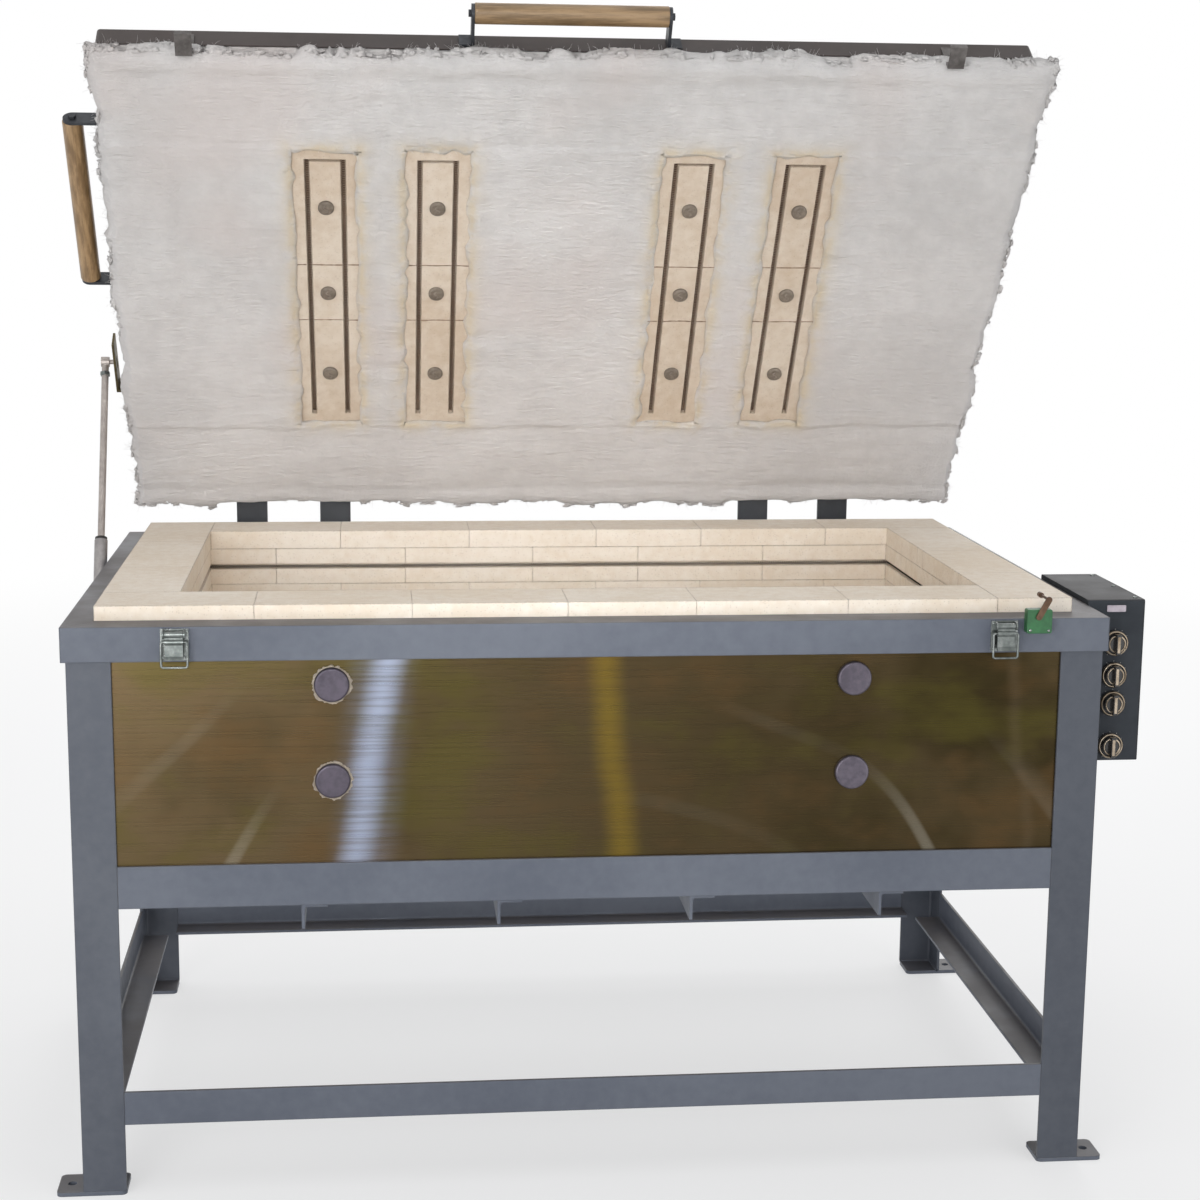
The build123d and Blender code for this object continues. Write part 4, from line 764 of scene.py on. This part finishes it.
def makeBlanket():
    setup = blanketSetup
    halfX, halfY = lid["stripHalfWidth"], lid["stripHalfLength"]
    xPockets = [(s - halfX, s + halfX) for s in lid["stripX"]]
    yPocket = (lid["stripY"] - halfY, lid["stripY"] + halfY)
    xs = blanketLines(-setup["leftReach"], setup["rightReach"], xPockets)
    ys = blanketLines(-setup["frontReach"], setup["rearReach"], [yPocket])
    rows, cols = len(ys), len(xs)
    gx, gy = np.meshgrid(xs, ys)
    left, right = gx + setup["leftReach"], setup["rightReach"] - gx
    front, rear = gy + setup["frontReach"], setup["rearReach"] - gy
    edge = np.minimum(np.minimum(left, right), np.minimum(front, rear))

    # torn outline: each side wanders outwards and inwards, less and less further in, and the
    # right side swells out towards the front
    nearLeft, nearRight, nearFront, nearRear = (
        np.exp(-away / setup["tornBand"]) for away in (left, right, front, rear))
    toSide = noiseSum(gy, 0, setup["tornSides"])
    toEnd = noiseSum(gx, 0, setup["tornEnds"])
    bulge = setup["bulge"] * smoothStep(-gy, *setup["bulgeSpan"])
    x = gx - nearLeft * (toSide + setup["leftProud"]) + nearRight * (toSide + bulge)
    free = np.ones_like(gx)
    for post in setup["posts"]:  # no wool stands out where a hinge post passes
        free = free * smoothStep(np.abs(gx - post), *setup["postClear"])
    y = gy - nearFront * toEnd * setup["frontTorn"]
    y = y + nearRear * (setup["rearProud"] * free
                        + toEnd * (setup["rearTorn"] + setup["rearFreeTorn"] * free))

    # the wool laps a little over each brick's edge
    fade = np.exp(-np.maximum(pocketDistance(gx, gy), 0) / setup["lapFade"])
    lapHere = setup["overlap"] * (setup["lapMean"] + noiseSum(gx, gy, setup["lapChange"])) * fade
    for stripX in lid["stripX"]:
        dx, dy = gx - stripX, gy - lid["stripY"]
        inX = np.abs(dx) < halfX + setup["lapReach"]
        inY = np.abs(dy) < halfY + setup["lapReach"]
        lap = lapHere * inX * inY
        x = x - np.sign(dx) * lap * (np.abs(dx) > halfX - setup["onEdge"])
        y = y - np.sign(dy) * lap * (np.abs(dy) > halfY - setup["onEdge"])

    proud = proudHeight(gx, gy, edge)
    face = np.stack([x.ravel(), y.ravel(), (lid["face"] - proud).ravel()], axis=1)

    # the back lies against the shell's top; its edge is drawn in to fit inside the skirt
    drawn = lid["wall"] + setup["shellGap"]
    inX = lid["halfWidth"] - drawn
    bx = np.clip(gx, -inX, inX)
    by = np.clip(gy, lid["front"] + drawn, lid["rear"] - drawn)
    back = np.stack([
        bx.ravel(), by.ravel(), np.full(bx.size, lid["top"] - setup["seat"])], axis=1)

    quads = gridQuads(rows, cols)
    midX, midY = np.meshgrid((xs[:-1] + xs[1:]) / 2, (ys[:-1] + ys[1:]) / 2)
    quads = quads[(pocketDistance(midX, midY) > 0).ravel()]
    count = rows * cols
    points = [face, back]
    faces = [quads[:, ::-1], quads + count]
    total = 2 * count

    def addWall(loop, layers, flip):
        # quads from the face's loop of points down through the layers to the back's loop
        nonlocal total
        ring = [loop]
        for layer in layers:
            points.append(layer)
            ring.append(np.arange(total, total + len(loop)))
            total += len(loop)
        ring.append(loop + count)
        for upper, lower in zip(ring[:-1], ring[1:]):
            band = np.stack([upper, np.roll(upper, -1), np.roll(lower, -1), lower], axis=1)
            faces.append(band[:, ::-1] if flip else band)

    index = np.arange(count).reshape(rows, cols)
    outer = np.concatenate([index[0, :-1], index[:-1, -1], index[-1, :0:-1], index[:0:-1, 0]])
    rim = face[outer]
    inner = back[outer]
    out = unit(rim[:, :2] - inner[:, :2])
    along = np.arange(len(outer)) * setup["puffStep"]
    puff = setup["puff"] + noiseSum(along, 0, setup["puffChange"])
    skirtZ = lid["skirtBottom"] - setup["skirtGap"]
    layers = []
    for share, grow in setup["puffLayers"]:
        low = rim[:, 2] * (1 - share) + skirtZ * share
        reach = puff * grow + noiseSum(along, share * 9, setup["puffRough"])
        layers.append(np.column_stack([rim[:, :2] + out * reach[:, None], low]))
    layers.append(np.column_stack([inner[:, :2], np.full(len(outer), skirtZ)]))
    addWall(outer, layers, False)

    lipZ = lid["face"] - setup["underGap"]
    r0, r1 = (np.argmin(np.abs(ys - v)) for v in yPocket)
    for xLow, xHigh in xPockets:
        c0, c1 = (np.argmin(np.abs(xs - v)) for v in (xLow, xHigh))
        loop = np.concatenate([
            index[r0, c0:c1], index[r0:r1, c1], index[r1, c1:c0:-1], index[r1:r0:-1, c0]])
        lip = face[loop].copy()
        lip[:, 2] = lipZ
        flat = np.column_stack([gx.ravel()[loop], gy.ravel()[loop]])
        away = flat - ((xLow + xHigh) / 2, lid["stripY"])
        step = np.sign(away) * setup["sideGap"] * (
            np.abs(away) > (halfX - setup["onEdge"], halfY - setup["onEdge"]))
        side = np.column_stack([flat + step, np.full(len(loop), lipZ)])
        deep = side.copy()
        deep[:, 2] = lid["face"] + setup["pocketDepth"]
        back[loop, :2] = flat + step
        addWall(loop, [lip, side, deep], True)
    return np.concatenate(points), np.concatenate(faces), rim, out


blanketPoints, blanketFaces, blanketRim, blanketOut = makeBlanket()
used, renumbered = np.unique(blanketFaces, return_inverse=True)
blanketPoints = blanketPoints[used]
blanketFaces = renumbered.reshape(blanketFaces.shape).tolist()
lidFibre = addPiece("lidFibre", [(blanketPoints, blanketFaces)], "lid", "fibre_blanket")
haloLayer = lidFibre.data.attributes.new("halo", "FLOAT", "POINT")
haloAway = np.abs(pocketDistance(blanketPoints[:, 0], blanketPoints[:, 1]))
haloLayer.data.foreach_set("value", np.exp(-haloAway / blanketSetup["haloFade"]))
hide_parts("lid_blanket")
backPlane = openLid(np.array([[0.0, 0.0, lid["top"]]]))[0]
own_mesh(lidFibre)
print("blanket:", len(lidFibre.data.polygons), "faces")

# heating coils: a fine helix wound round the line of each element

coilSetup = {
    "coilRadius": 0.0022, "wireRadius": 0.0005, "pitch": 0.0034, "perTurn": 9, "sides": 4,
    "look": 0.0005,
}


def coilMesh(path, closed):
    # a helix round a path: each point is the path's point plus the coil radius times the cosine
    # and sine of the turn angle along two directions square to the path; a small ring follows it
    setup = coilSetup
    gaps = np.linalg.norm(np.diff(path, axis=0), axis=1)
    length = np.concatenate([[0], np.cumsum(gaps)])
    count = int(round(length[-1] / setup["pitch"])) * setup["perTurn"]
    at = np.linspace(0, length[-1], count, endpoint=not closed)
    line, ahead, behind = (
        np.stack([np.interp(place, length, values) for values in path.T], axis=1)
        for place in (at, at + setup["look"], at - setup["look"]))
    forward = unit(ahead - behind)
    side = unit(np.cross(forward, (0.0, 0.0, 1.0)))
    lift = np.cross(side, forward)
    phase = (at / setup["pitch"] * 2 * np.pi)[:, None]
    radial = np.cos(phase) * side + np.sin(phase) * lift
    swing = (-np.sin(phase) * side + np.cos(phase) * lift) * setup["coilRadius"] * 2 * np.pi
    tangent = unit(swing + forward * setup["pitch"])
    points = rings(line + setup["coilRadius"] * radial, radial, np.cross(tangent, radial),
                   setup["wireRadius"], setup["sides"])
    return points.reshape(-1, 3), barFaces(count, setup["sides"], closed)


wallCoilSetup = {"inset": 0.003, "corner": 0.007, "cornerPoints": 8}


def roundedRing(halfX, front, rear, z):
    # a level rectangle with quarter-circle corners, as one closed line of points
    radius = wallCoilSetup["corner"]
    corners = ((halfX - radius, rear - radius, 0), (radius - halfX, rear - radius, 90),
               (radius - halfX, front + radius, 180), (halfX - radius, front + radius, 270))
    line = []
    for cx, cy, start in corners:
        turn = np.radians(np.linspace(start, start + 90, wallCoilSetup["cornerPoints"]))
        line.append(np.column_stack([
            cx + radius * np.cos(turn), cy + radius * np.sin(turn), np.full(len(turn), z)]))
    line = np.concatenate(line)
    return np.concatenate([line, line[:1]])


def makeWallCoil():
    wallLow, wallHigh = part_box("wall_element")
    inset = wallCoilSetup["inset"]
    line = roundedRing(wallHigh.x - inset, wallLow.y + inset, wallHigh.y - inset,
                       (wallLow.z + wallHigh.z) / 2)
    return addPiece("wallElementCoil", [coilMesh(line, True)], "stand", "element_wire")


lidCoilSetup = {
    "offset": 0.0292, "halfRun": 0.26245, "z": 0.89345,
    "linkY": -0.24965, "linkRadius": 0.0011, "linkPoints": 12,
}


def makeLidCoils():
    # two runs and the link between them in each strip
    setup = lidCoilSetup
    parts, z = [], setup["z"]
    for stripX in lid["stripX"]:
        for side in (-1, 1):
            parts.append(coilMesh(np.array([
                [stripX + side * setup["offset"], lid["stripY"] + end * setup["halfRun"], z]
                for end in (-1, 1)]), False))
        reach = np.linspace(-setup["offset"], setup["offset"], setup["linkPoints"])
        link = np.column_stack([stripX + reach, setup["linkY"] + 0 * reach, z + 0 * reach])
        parts.append(tube(link, setup["linkRadius"], (0, 0, 1), 6))
    wire = plainGloss("lidElementWire", (126, 98, 78), (84, 62, 50), 0.2, 0.6, 300.0, 0.2)
    return addPiece("lidElementCoils", parts, "lid", "element_wire", wire)


wallCoil = makeWallCoil()
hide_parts("wall_element")
lidCoils = makeLidCoils()
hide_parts("lid_elements")
print("coils:", len(wallCoil.data.polygons), "and", len(lidCoils.data.polygons), "faces")

# cement in the joints of the lid's brick strips: thin ragged bars between and beside the grooves

jointSetup = {
    "y": (0.06825, -0.04605), "spans": ((-0.0640, -0.0336), (-0.0250, 0.0250), (0.0336, 0.0640)),
    "halfWide": 0.0012, "step": 0.0016, "proud": 0.0012, "deep": 0.0010, "ridgePoints": 6,
    "cell": 0.004, "seed": 61, "bend": 0.0008, "bendCell": 0.018, "bendSeed": 71,
}


def makeJoints():
    # a low ridge: its half width and its height wander along the joint
    setup = jointSetup
    turn = np.linspace(0, np.pi, setup["ridgePoints"])
    parts = []
    for index, stripX in enumerate(lid["stripX"]):
        for y in setup["y"]:
            for start, end in setup["spans"]:
                x = np.arange(start, end, setup["step"]) + stripX
                wander = latticeNoise(x, y, setup["cell"], setup["seed"] + index)
                bend = latticeNoise(x, y, setup["bendCell"], setup["bendSeed"] + index)
                half = setup["halfWide"] * (1 + 0.45 * wander)
                middle = y + setup["bend"] * bend
                rise = setup["proud"] * (0.75 + 0.25 * wander)
                line = np.stack([
                    np.broadcast_to(x[:, None], (len(x), len(turn))),
                    middle[:, None] + half[:, None] * np.cos(turn),
                    lid["face"] + setup["deep"] - (rise[:, None] + setup["deep"]) * np.sin(turn),
                ], axis=-1)
                parts.append((line.reshape(-1, 3), barFaces(len(x), len(turn))))
    cement = plainGloss("jointCement", (150, 128, 108), (112, 92, 76), 0.0, 0.85, 300.0, 0.3)
    addPiece("lidJointCement", parts, "lid", "firebrick", cement)


makeJoints()
print("joints are made")

# torn wool: tufts and loose strands along the blanket's outline and over the edges of the strips

fringeSetup = {
    "seed": 7, "tufts": 620, "strands": 1500, "stripStrands": 800,
    "tuftLong": (0.0035, 0.0110), "tuftWide": (0.0022, 0.0050), "tuftHigh": (0.0020, 0.0042),
    "tuftRows": 6, "tuftCols": 9, "tuftPole": 0.3, "tuftDepth": 0.018, "strandDepth": 0.016,
    "strandPoints": 6, "strandSides": 3, "strandRadius": 0.00030,
    "strandLength": (0.006, 0.017), "stripLength": (0.004, 0.011), "endShare": 0.22,
    "postClear": 0.055, "postFrom": 0.44, "springX": -0.70, "springY": (0.11, 0.26),
}


def manyFaces(single, count, step):
    # the same faces again for each copy of a shape, numbered on by that many points
    copies = np.asarray(single)[None] + np.arange(count)[:, None, None] * step
    return copies.reshape(-1, copies.shape[2]).tolist()


def manyBars(rows, cols, count):
    # the faces of many bars with a face on each end: all sides, then all first and all last ends
    step, ring = rows * cols, np.arange(cols)
    return (manyFaces(gridQuads(rows, cols, closeCols=True), count, step)
            + manyFaces([ring[::-1]], count, step) + manyFaces([ring + step - cols], count, step))


def makeTufts(rng, rim, out):
    # each tuft is an ellipsoid: its point is the middle plus the half length times cos(turn)
    # sin(tilt), the half width times sin(turn) sin(tilt) and the half height times cos(tilt),
    # each scaled by a random factor of its own
    setup = fringeSetup
    pick = rng.integers(0, len(rim), setup["tufts"])
    base, outward = rim[pick], out[pick]
    rows, cols, count = setup["tuftRows"], setup["tuftCols"], len(base)
    pole = setup["tuftPole"]
    tilt = np.linspace(pole, np.pi - pole, rows)[:, None, None]
    turn = turns(cols)[:, None]
    a, b, c = (
        rng.uniform(*setup[key], (count, 1, 1, 1)) for key in ("tuftLong", "tuftWide", "tuftHigh"))
    along = np.stack([-outward[:, 1], outward[:, 0], 0.3 * rng.uniform(-1, 1, count)], axis=1)
    across = np.column_stack([outward, np.zeros(count)])
    rough = 1 + np.clip(0.30 * rng.normal(size=(count, rows, cols, 1)), -0.5, 0.7)
    middle = base + across * rng.uniform(-0.002, 0.0035, (count, 1))
    middle[:, 2] += rng.uniform(0, 1, count) ** 2 * setup["tuftDepth"]
    points = middle[:, None, None] + rough * (
        a * np.cos(turn) * np.sin(tilt) * along[:, None, None]
        + b * np.sin(turn) * np.sin(tilt) * across[:, None, None]
        + c * np.cos(tilt) * np.array([0.0, 0.0, 1.0]))
    return points.reshape(-1, 3), manyBars(rows, cols, count)


def makeStrands(rng, start, heading, lengths):
    # each strand bends once: its point at share t is the start plus the length times the heading
    # and a sideways swing that grows with the square of t; a thin three-sided bar follows it
    count, rows, cols = len(start), fringeSetup["strandPoints"], fringeSetup["strandSides"]
    heading = unit(heading)
    swing = unit(np.cross(heading, rng.normal(size=(count, 3))))
    t = np.linspace(0, 1, rows)[None, :, None]
    length = rng.uniform(*lengths, (count, 1, 1))
    bend = rng.uniform(0.2, 0.7, (count, 1, 1))
    path = start[:, None] + length * (t * heading[:, None] + bend * t * t * swing[:, None])
    forward = unit(np.gradient(path, axis=1))
    side = unit(np.cross(forward, np.cross(heading, swing)[:, None]))
    thin = fringeSetup["strandRadius"] * (1 - 0.6 * t[..., None])
    points = rings(path, side, np.cross(side, forward), thin, cols)
    return points.reshape(-1, 3), manyBars(rows, cols, count)


def makeFringe():
    setup = fringeSetup
    rng = np.random.default_rng(setup["seed"])

    # no wool is torn out where the hinge posts and the gas spring pass
    x, y = blanketRim[:, 0], blanketRim[:, 1]
    nearPost = (np.abs(x[:, None] - blanketSetup["posts"]) < setup["postClear"]).any(axis=1)
    low, high = setup["springY"]
    nearSpring = (x < setup["springX"]) & (y > low) & (y < high)
    clear = ~((nearPost & (y > setup["postFrom"])) | nearSpring)
    rim, out = blanketRim[clear], blanketOut[clear]
    parts = [makeTufts(rng, rim, out)]
    n = setup["strands"]
    pick = rng.integers(0, len(rim), n)
    outward = np.column_stack([out[pick], np.zeros(n)])
    along = np.column_stack([-out[pick, 1], out[pick, 0], np.zeros(n)])
    heading = outward * rng.uniform(0.2, 1, (n, 1)) + along * rng.uniform(-1, 1, (n, 1))
    heading[:, 2] = rng.uniform(-0.25, 0.7, n)
    start = rim[pick].copy()
    start[:, 2] += rng.uniform(0, setup["strandDepth"], n)
    parts.append(makeStrands(rng, start, heading, setup["strandLength"]))

    # strands that lie over the bricks, from each side and end of each strip
    n = setup["stripStrands"]
    stripX = np.array(lid["stripX"])[rng.integers(0, len(lid["stripX"]), n)]
    sign, along = rng.choice([-1.0, 1.0], n), rng.uniform(-1, 1, n)
    atEnd = rng.random(n) < setup["endShare"]
    w, h = lid["stripHalfWidth"], lid["stripHalfLength"]
    start = np.column_stack([
        stripX + np.where(atEnd, along * w, sign * w),
        lid["stripY"] + np.where(atEnd, sign * h, along * h),
        lid["face"] - rng.uniform(0.0010, 0.0040, n)])
    inward = np.column_stack([np.where(atEnd, 0, -sign), np.where(atEnd, -sign, 0), np.zeros(n)])
    heading = inward * rng.uniform(0.1, 1, (n, 1)) + 0.9 * rng.uniform(-1, 1, (n, 3))
    heading[:, 2] = rng.uniform(-0.25, 0.1, n)
    parts.append(makeStrands(rng, start, heading, setup["stripLength"]))
    return parts


lidFringe = addPiece("lidFringe", makeFringe(), "lid", "fibre_blanket")
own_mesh(lidFringe)
print("fringe:", len(lidFringe.data.polygons), "faces")

# knob trims: a bezel round the hub, an inlay on the grip, and a ring of ticks behind

knobSetup = {
    "x": 0.811, "face": -0.358, "gap": 0.0005, "heights": (0.804, 0.754, 0.709, 0.642),
    "bezel": ((0.0163, 0.0038), (0.0163, 0.0064), (0.0172, 0.0074), (0.0187, 0.0070),
              (0.0197, 0.0052), (0.0197, 0.0038)),
    "hubRing": ((0.0110, 0.0118), (0.0113, 0.0130), (0.0134, 0.0130), (0.0139, 0.0118)),
    "inlay": (0.0125, 0.0022, 0.0009), "gripTop": 0.0196,
    "tickInner": 0.0206, "tickOuter": 0.0221, "tickHalfWide": 0.0004, "tickHigh": 0.0004,
    "tickSink": 0.0001, "ticks": 11, "sweep": 300.0,
}


def makeKnobTrims():
    # the faces of the inlay come last and stay flat
    setup = knobSetup
    bezelFinish = plainGloss("knobBezel", (186, 172, 154), (118, 104, 86), 1.0, 0.22, 60.0, 0.05)
    long, wide, rise = setup["inlay"]
    for number, z in enumerate(setup["heights"], 1):
        back = (setup["x"], setup["face"] - setup["gap"], z)
        inlayAt = (setup["x"], back[1] - setup["gripTop"], z)
        inlay = slab(inlayAt, (0, 0, long), (wide, 0, 0), (0, -rise, 0))
        trim = addPiece(f"knobTrim{number}", [
            lathe(setup["bezel"], back, (0, -1, 0), 40, ring=True),
            lathe(setup["hubRing"], back, (0, -1, 0), 36, ring=True), inlay,
        ], f"knob_{number}", "bright_zinc", bezelFinish)
        count = len(trim.data.polygons)
        trim.data.polygons.foreach_set("use_smooth", np.arange(count) < count - len(inlay[1]))
    middle = (setup["tickInner"] + setup["tickOuter"]) / 2
    half = (setup["tickOuter"] - setup["tickInner"]) / 2
    reach = setup["sweep"] / 2
    parts = []
    for z in setup["heights"]:
        for angle in np.radians(np.linspace(-reach, reach, setup["ticks"])):
            outward = np.array([math.sin(angle), 0, math.cos(angle)])
            sideways = np.array([outward[2], 0, -outward[0]])
            centre = np.array([setup["x"], setup["face"] + setup["tickSink"], z]) + outward * middle
            parts.append(slab(centre, outward * half, sideways * setup["tickHalfWide"],
                              (0, -setup["tickHigh"], 0)))
    mark = plainGloss("dialMark", (188, 186, 180), (160, 158, 152), 0.0, 0.5)
    addPiece("dialTicks", parts, "stand", "box_paint", mark, smooth=False)


makeKnobTrims()
print("knob trims are made")

# small fixings: screws of the box, panels and lid switch, rivets of the latches, a bare plate

fixingSetup = {
    "screw": ((0.0036, -0.0004), (0.0037, 0.0006), (0.0031, 0.0014), (0.0018, 0.0018)),
    "rivet": ((0.0021, -0.0003), (0.0021, 0.0004), (0.0014, 0.0009)),
    "sides": {"screw": 14, "rivet": 12},
    "boxEnds": ((0.871, 1), (0.617, -1)), "boxScrewX": 0.846, "boxScrewY": (-0.340, -0.238, -0.136),
    "panelX": 0.7548, "panelY": 0.4488, "panelZ": (0.524, 0.796),
    "sideScrewY": (-0.34, -0.17, 0.0, 0.17, 0.34),
    "rearScrewX": (-0.66, -0.44, -0.22, 0.0, 0.22, 0.44, 0.66),
    "plateAt": (0.811, -0.3579, 0.8575), "plateHalf": (0.0150, 0.0052), "plateRise": 0.0009,
    "latchX": (-0.605, 0.605), "latchFace": -0.463, "rivetX": 0.0165, "rivetZ": (0.8185, 0.8565),
    "switchFace": -0.476, "switchScrews": ((0.6400, 0.8480), (0.6680, 0.8475)),
}


def makeFixings():
    setup = fixingSetup
    heads = []
    for y in setup["boxScrewY"]:
        for z, up in setup["boxEnds"]:
            heads.append(("screw", (setup["boxScrewX"], y, z), (0, 0, up)))
    for z in setup["panelZ"]:
        for side in (-1, 1):
            for y in setup["sideScrewY"]:
                heads.append(("screw", (side * setup["panelX"], y, z), (side, 0, 0)))
        for x in setup["rearScrewX"]:
            heads.append(("screw", (x, setup["panelY"], z), (0, 1, 0)))
    for x, z in setup["switchScrews"]:
        heads.append(("rivet", (x, setup["switchFace"], z), (0, -1, 0)))
    for middle in setup["latchX"]:
        for x in (middle - setup["rivetX"], middle + setup["rivetX"]):
            for z in setup["rivetZ"]:
                heads.append(("rivet", (x, setup["latchFace"], z), (0, -1, 0)))
    parts = [lathe(setup[kind], place, axis, setup["sides"][kind]) for kind, place, axis in heads]
    addPiece("screwHeads", parts, "stand", "bright_zinc")
    halfWide, halfHigh = setup["plateHalf"]
    plate = slab(setup["plateAt"], (halfWide, 0, 0), (0, 0, halfHigh), (0, -setup["plateRise"], 0))
    satin = plainGloss("satinPlate", (176, 168, 176), (150, 142, 150), 0.7, 0.4)
    addPiece("barePlate", [plate], "stand", "pan_sheet", satin, smooth=False)


makeFixings()
print("fixings are made")

# fittings of the lid: washers and nuts of the button stems on its top, tie wires on the buttons

stemSetup = {
    "y": (0.18255, 0.0111, -0.16035),
    "washer": ((0.0034, 0.0), (0.0034, 0.0012), (0.0092, 0.0012), (0.0096, 0.0)),
    "nut": ((0.0056, 0.0011), (0.0062, 0.0016), (0.0062, 0.0046), (0.0056, 0.0051)),
    "stud": ((0.0028, 0.0010), (0.0028, 0.0070), (0.0022, 0.0078)),
    "buttonFace": 0.87875, "tieRadius": 0.0011, "tieReach": 0.0062, "tieSwing": 0.0034,
    "tieProud": 0.0004, "tieDip": 0.0012, "tiePoints": 17,
}


def makeStemFittings():
    # a tie is an S: x swings as the sine of the place along y, and both ends dip into the button
    setup = stemSetup
    t = np.linspace(-1, 1, setup["tiePoints"])
    dip = setup["buttonFace"] - setup["tieProud"] + setup["tieDip"] * np.abs(t) ** 6
    tops, ties = [], []
    for x in lid["stripX"]:
        for y in setup["y"]:
            top = (x, y, lid["top"])
            tops.append(lathe(setup["washer"], top, (0, 0, 1), 24, ring=True))
            tops.append(lathe(setup["nut"], top, (0, 0, 1), 6))
            tops.append(lathe(setup["stud"], top, (0, 0, 1), 14))
            line = np.column_stack([
                x + setup["tieSwing"] * np.sin(np.pi * t), y + setup["tieReach"] * t, dip])
            ties.append(tube(line, setup["tieRadius"], (0, 0, 1), 8))
    addPiece("stemNuts", tops, "lid", "bright_zinc", smooth=False)
    wire = plainGloss("tieWire", (160, 150, 140), (120, 110, 100), 0.6, 0.4)
    addPiece("buttonTies", ties, "lid", "button_ceramic", wire)


makeStemFittings()
print("stem fittings are made")

# packing round the two left plugs: a torn ring of wool pressed out between cap and panel

packingSetup = {
    "x": -0.384, "z": (0.631, 0.774), "y": -0.4488, "middle": 0.0268, "thick": 0.0028,
    "wander": ((1, 0.006, 51), (0.6, 0.0025, 52)), "swing": 0.0012, "gap": 0.0004,
    "points": 120, "sides": 10,
}


def makePacking():
    # a ring whose radius, width and thickness all wander with the turn angle
    setup = packingSetup
    count, sides = setup["points"], setup["sides"]
    turn, ring = turns(count), turns(sides)
    parts = []
    for index, z in enumerate(setup["z"]):
        wander = noiseSum(turn * 0.03, index, setup["wander"])
        radius = (setup["middle"] + setup["swing"] * wander)[:, None]
        thick = (setup["thick"] * (0.75 + 0.35 * wander))[:, None]
        r = radius + thick * 0.9 * np.cos(ring)
        depth = setup["y"] - setup["gap"] - thick * 0.8 * np.maximum(np.sin(ring), -0.1)
        points = np.stack([setup["x"] + r * np.cos(turn)[:, None], depth,
                           z + r * np.sin(turn)[:, None]], axis=-1).reshape(-1, 3)
        parts.append((points, barFaces(count, sides, True)))
    wool = fibreWool("packingWool", (192, 180, 164), (150, 136, 120), (166, 150, 130),
                     (166, 150, 130))
    addPiece("plugPacking", parts, "stand", "backing_board", wool)


makePacking()
print("packing is made")

# weld beads: ripples along the joints of the feet and the hinge posts

weldSetup = {
    "radius": 0.0020, "pitch": 0.0032, "ripple": 0.22, "perPitch": 5,
    "legX": 0.7596, "legY": 0.4536, "legSize": 0.0635, "wall": 0.0048, "footTop": 0.0064,
    "rimRear": 0.460, "postBottom": 0.8182, "postHalf": 0.028, "postTop": 0.849,
}


def bead(start, end, up):
    # a bar whose radius ripples with the sine of the place along it
    setup = weldSetup
    start, end = np.asarray(start, float), np.asarray(end, float)
    ripples = np.linalg.norm(end - start) / setup["pitch"]
    t = np.linspace(0, 1, max(6, int(ripples * setup["perPitch"])))
    swell = 1 + setup["ripple"] * np.sin(t * ripples * 2 * np.pi)
    return tube(start + (end - start) * t[:, None], setup["radius"] * swell, up, 8)


def makeWelds():
    setup = weldSetup
    parts, z = [], setup["footTop"]
    for sx in (-1, 1):
        for sy in (-1, 1):
            innerX, farX = (sx * (setup["legX"] - setup[key]) for key in ("wall", "legSize"))
            innerY, farY = (sy * (setup["legY"] - setup[key]) for key in ("wall", "legSize"))
            for end in ((farX, innerY, z), (innerX, farY, z)):
                parts.append(bead((innerX, innerY, z), end, (0, 0, 1)))
    for post in blanketSetup["posts"]:
        for x in (post - setup["postHalf"], post + setup["postHalf"]):
            parts.append(bead((x, setup["rimRear"], setup["postBottom"]),
                              (x, setup["rimRear"], setup["postTop"]), (1, 0, 0)))
    addPiece("weldBeads", parts, "stand", "frame_paint")


makeWelds()
print("welds are made")

# gas spring fittings: a seal cap on the tube's mouth and a nut under the top eye

springSetup = {
    "foot": (-0.785, 0.005, 0.4775), "lean": 25.125, "tube": 0.455, "nutAt": 0.75133,
    "cap": ((0.0063, -0.001), (0.0063, 0.0035), (0.0075, 0.0045), (0.0098, 0.0035),
            (0.0104, 0.0010), (0.0100, -0.001)),
    "nut": ((0.0078, 0.0), (0.0090, 0.0008), (0.0090, 0.0064), (0.0078, 0.0072)),
}


def makeSpringFittings():
    setup = springSetup
    lean = math.radians(setup["lean"])
    axis = np.array([0, math.sin(lean), math.cos(lean)])
    foot = np.array(setup["foot"])
    seal = lathe(setup["cap"], foot + axis * setup["tube"], axis, 32, ring=True)
    nut = lathe(setup["nut"], foot + axis * setup["nutAt"], axis, 6)
    rubber = plainGloss("sealRubber", (40, 38, 38), (28, 26, 26), 0.0, 0.5)
    addPiece("springSeal", [seal], "spring_cylinder", "spring_tube", rubber)
    addPiece("springNut", [nut], "spring_rod", "spring_rod", finishes["bright_zinc"], False)


makeSpringFittings()
print("spring fittings are made")
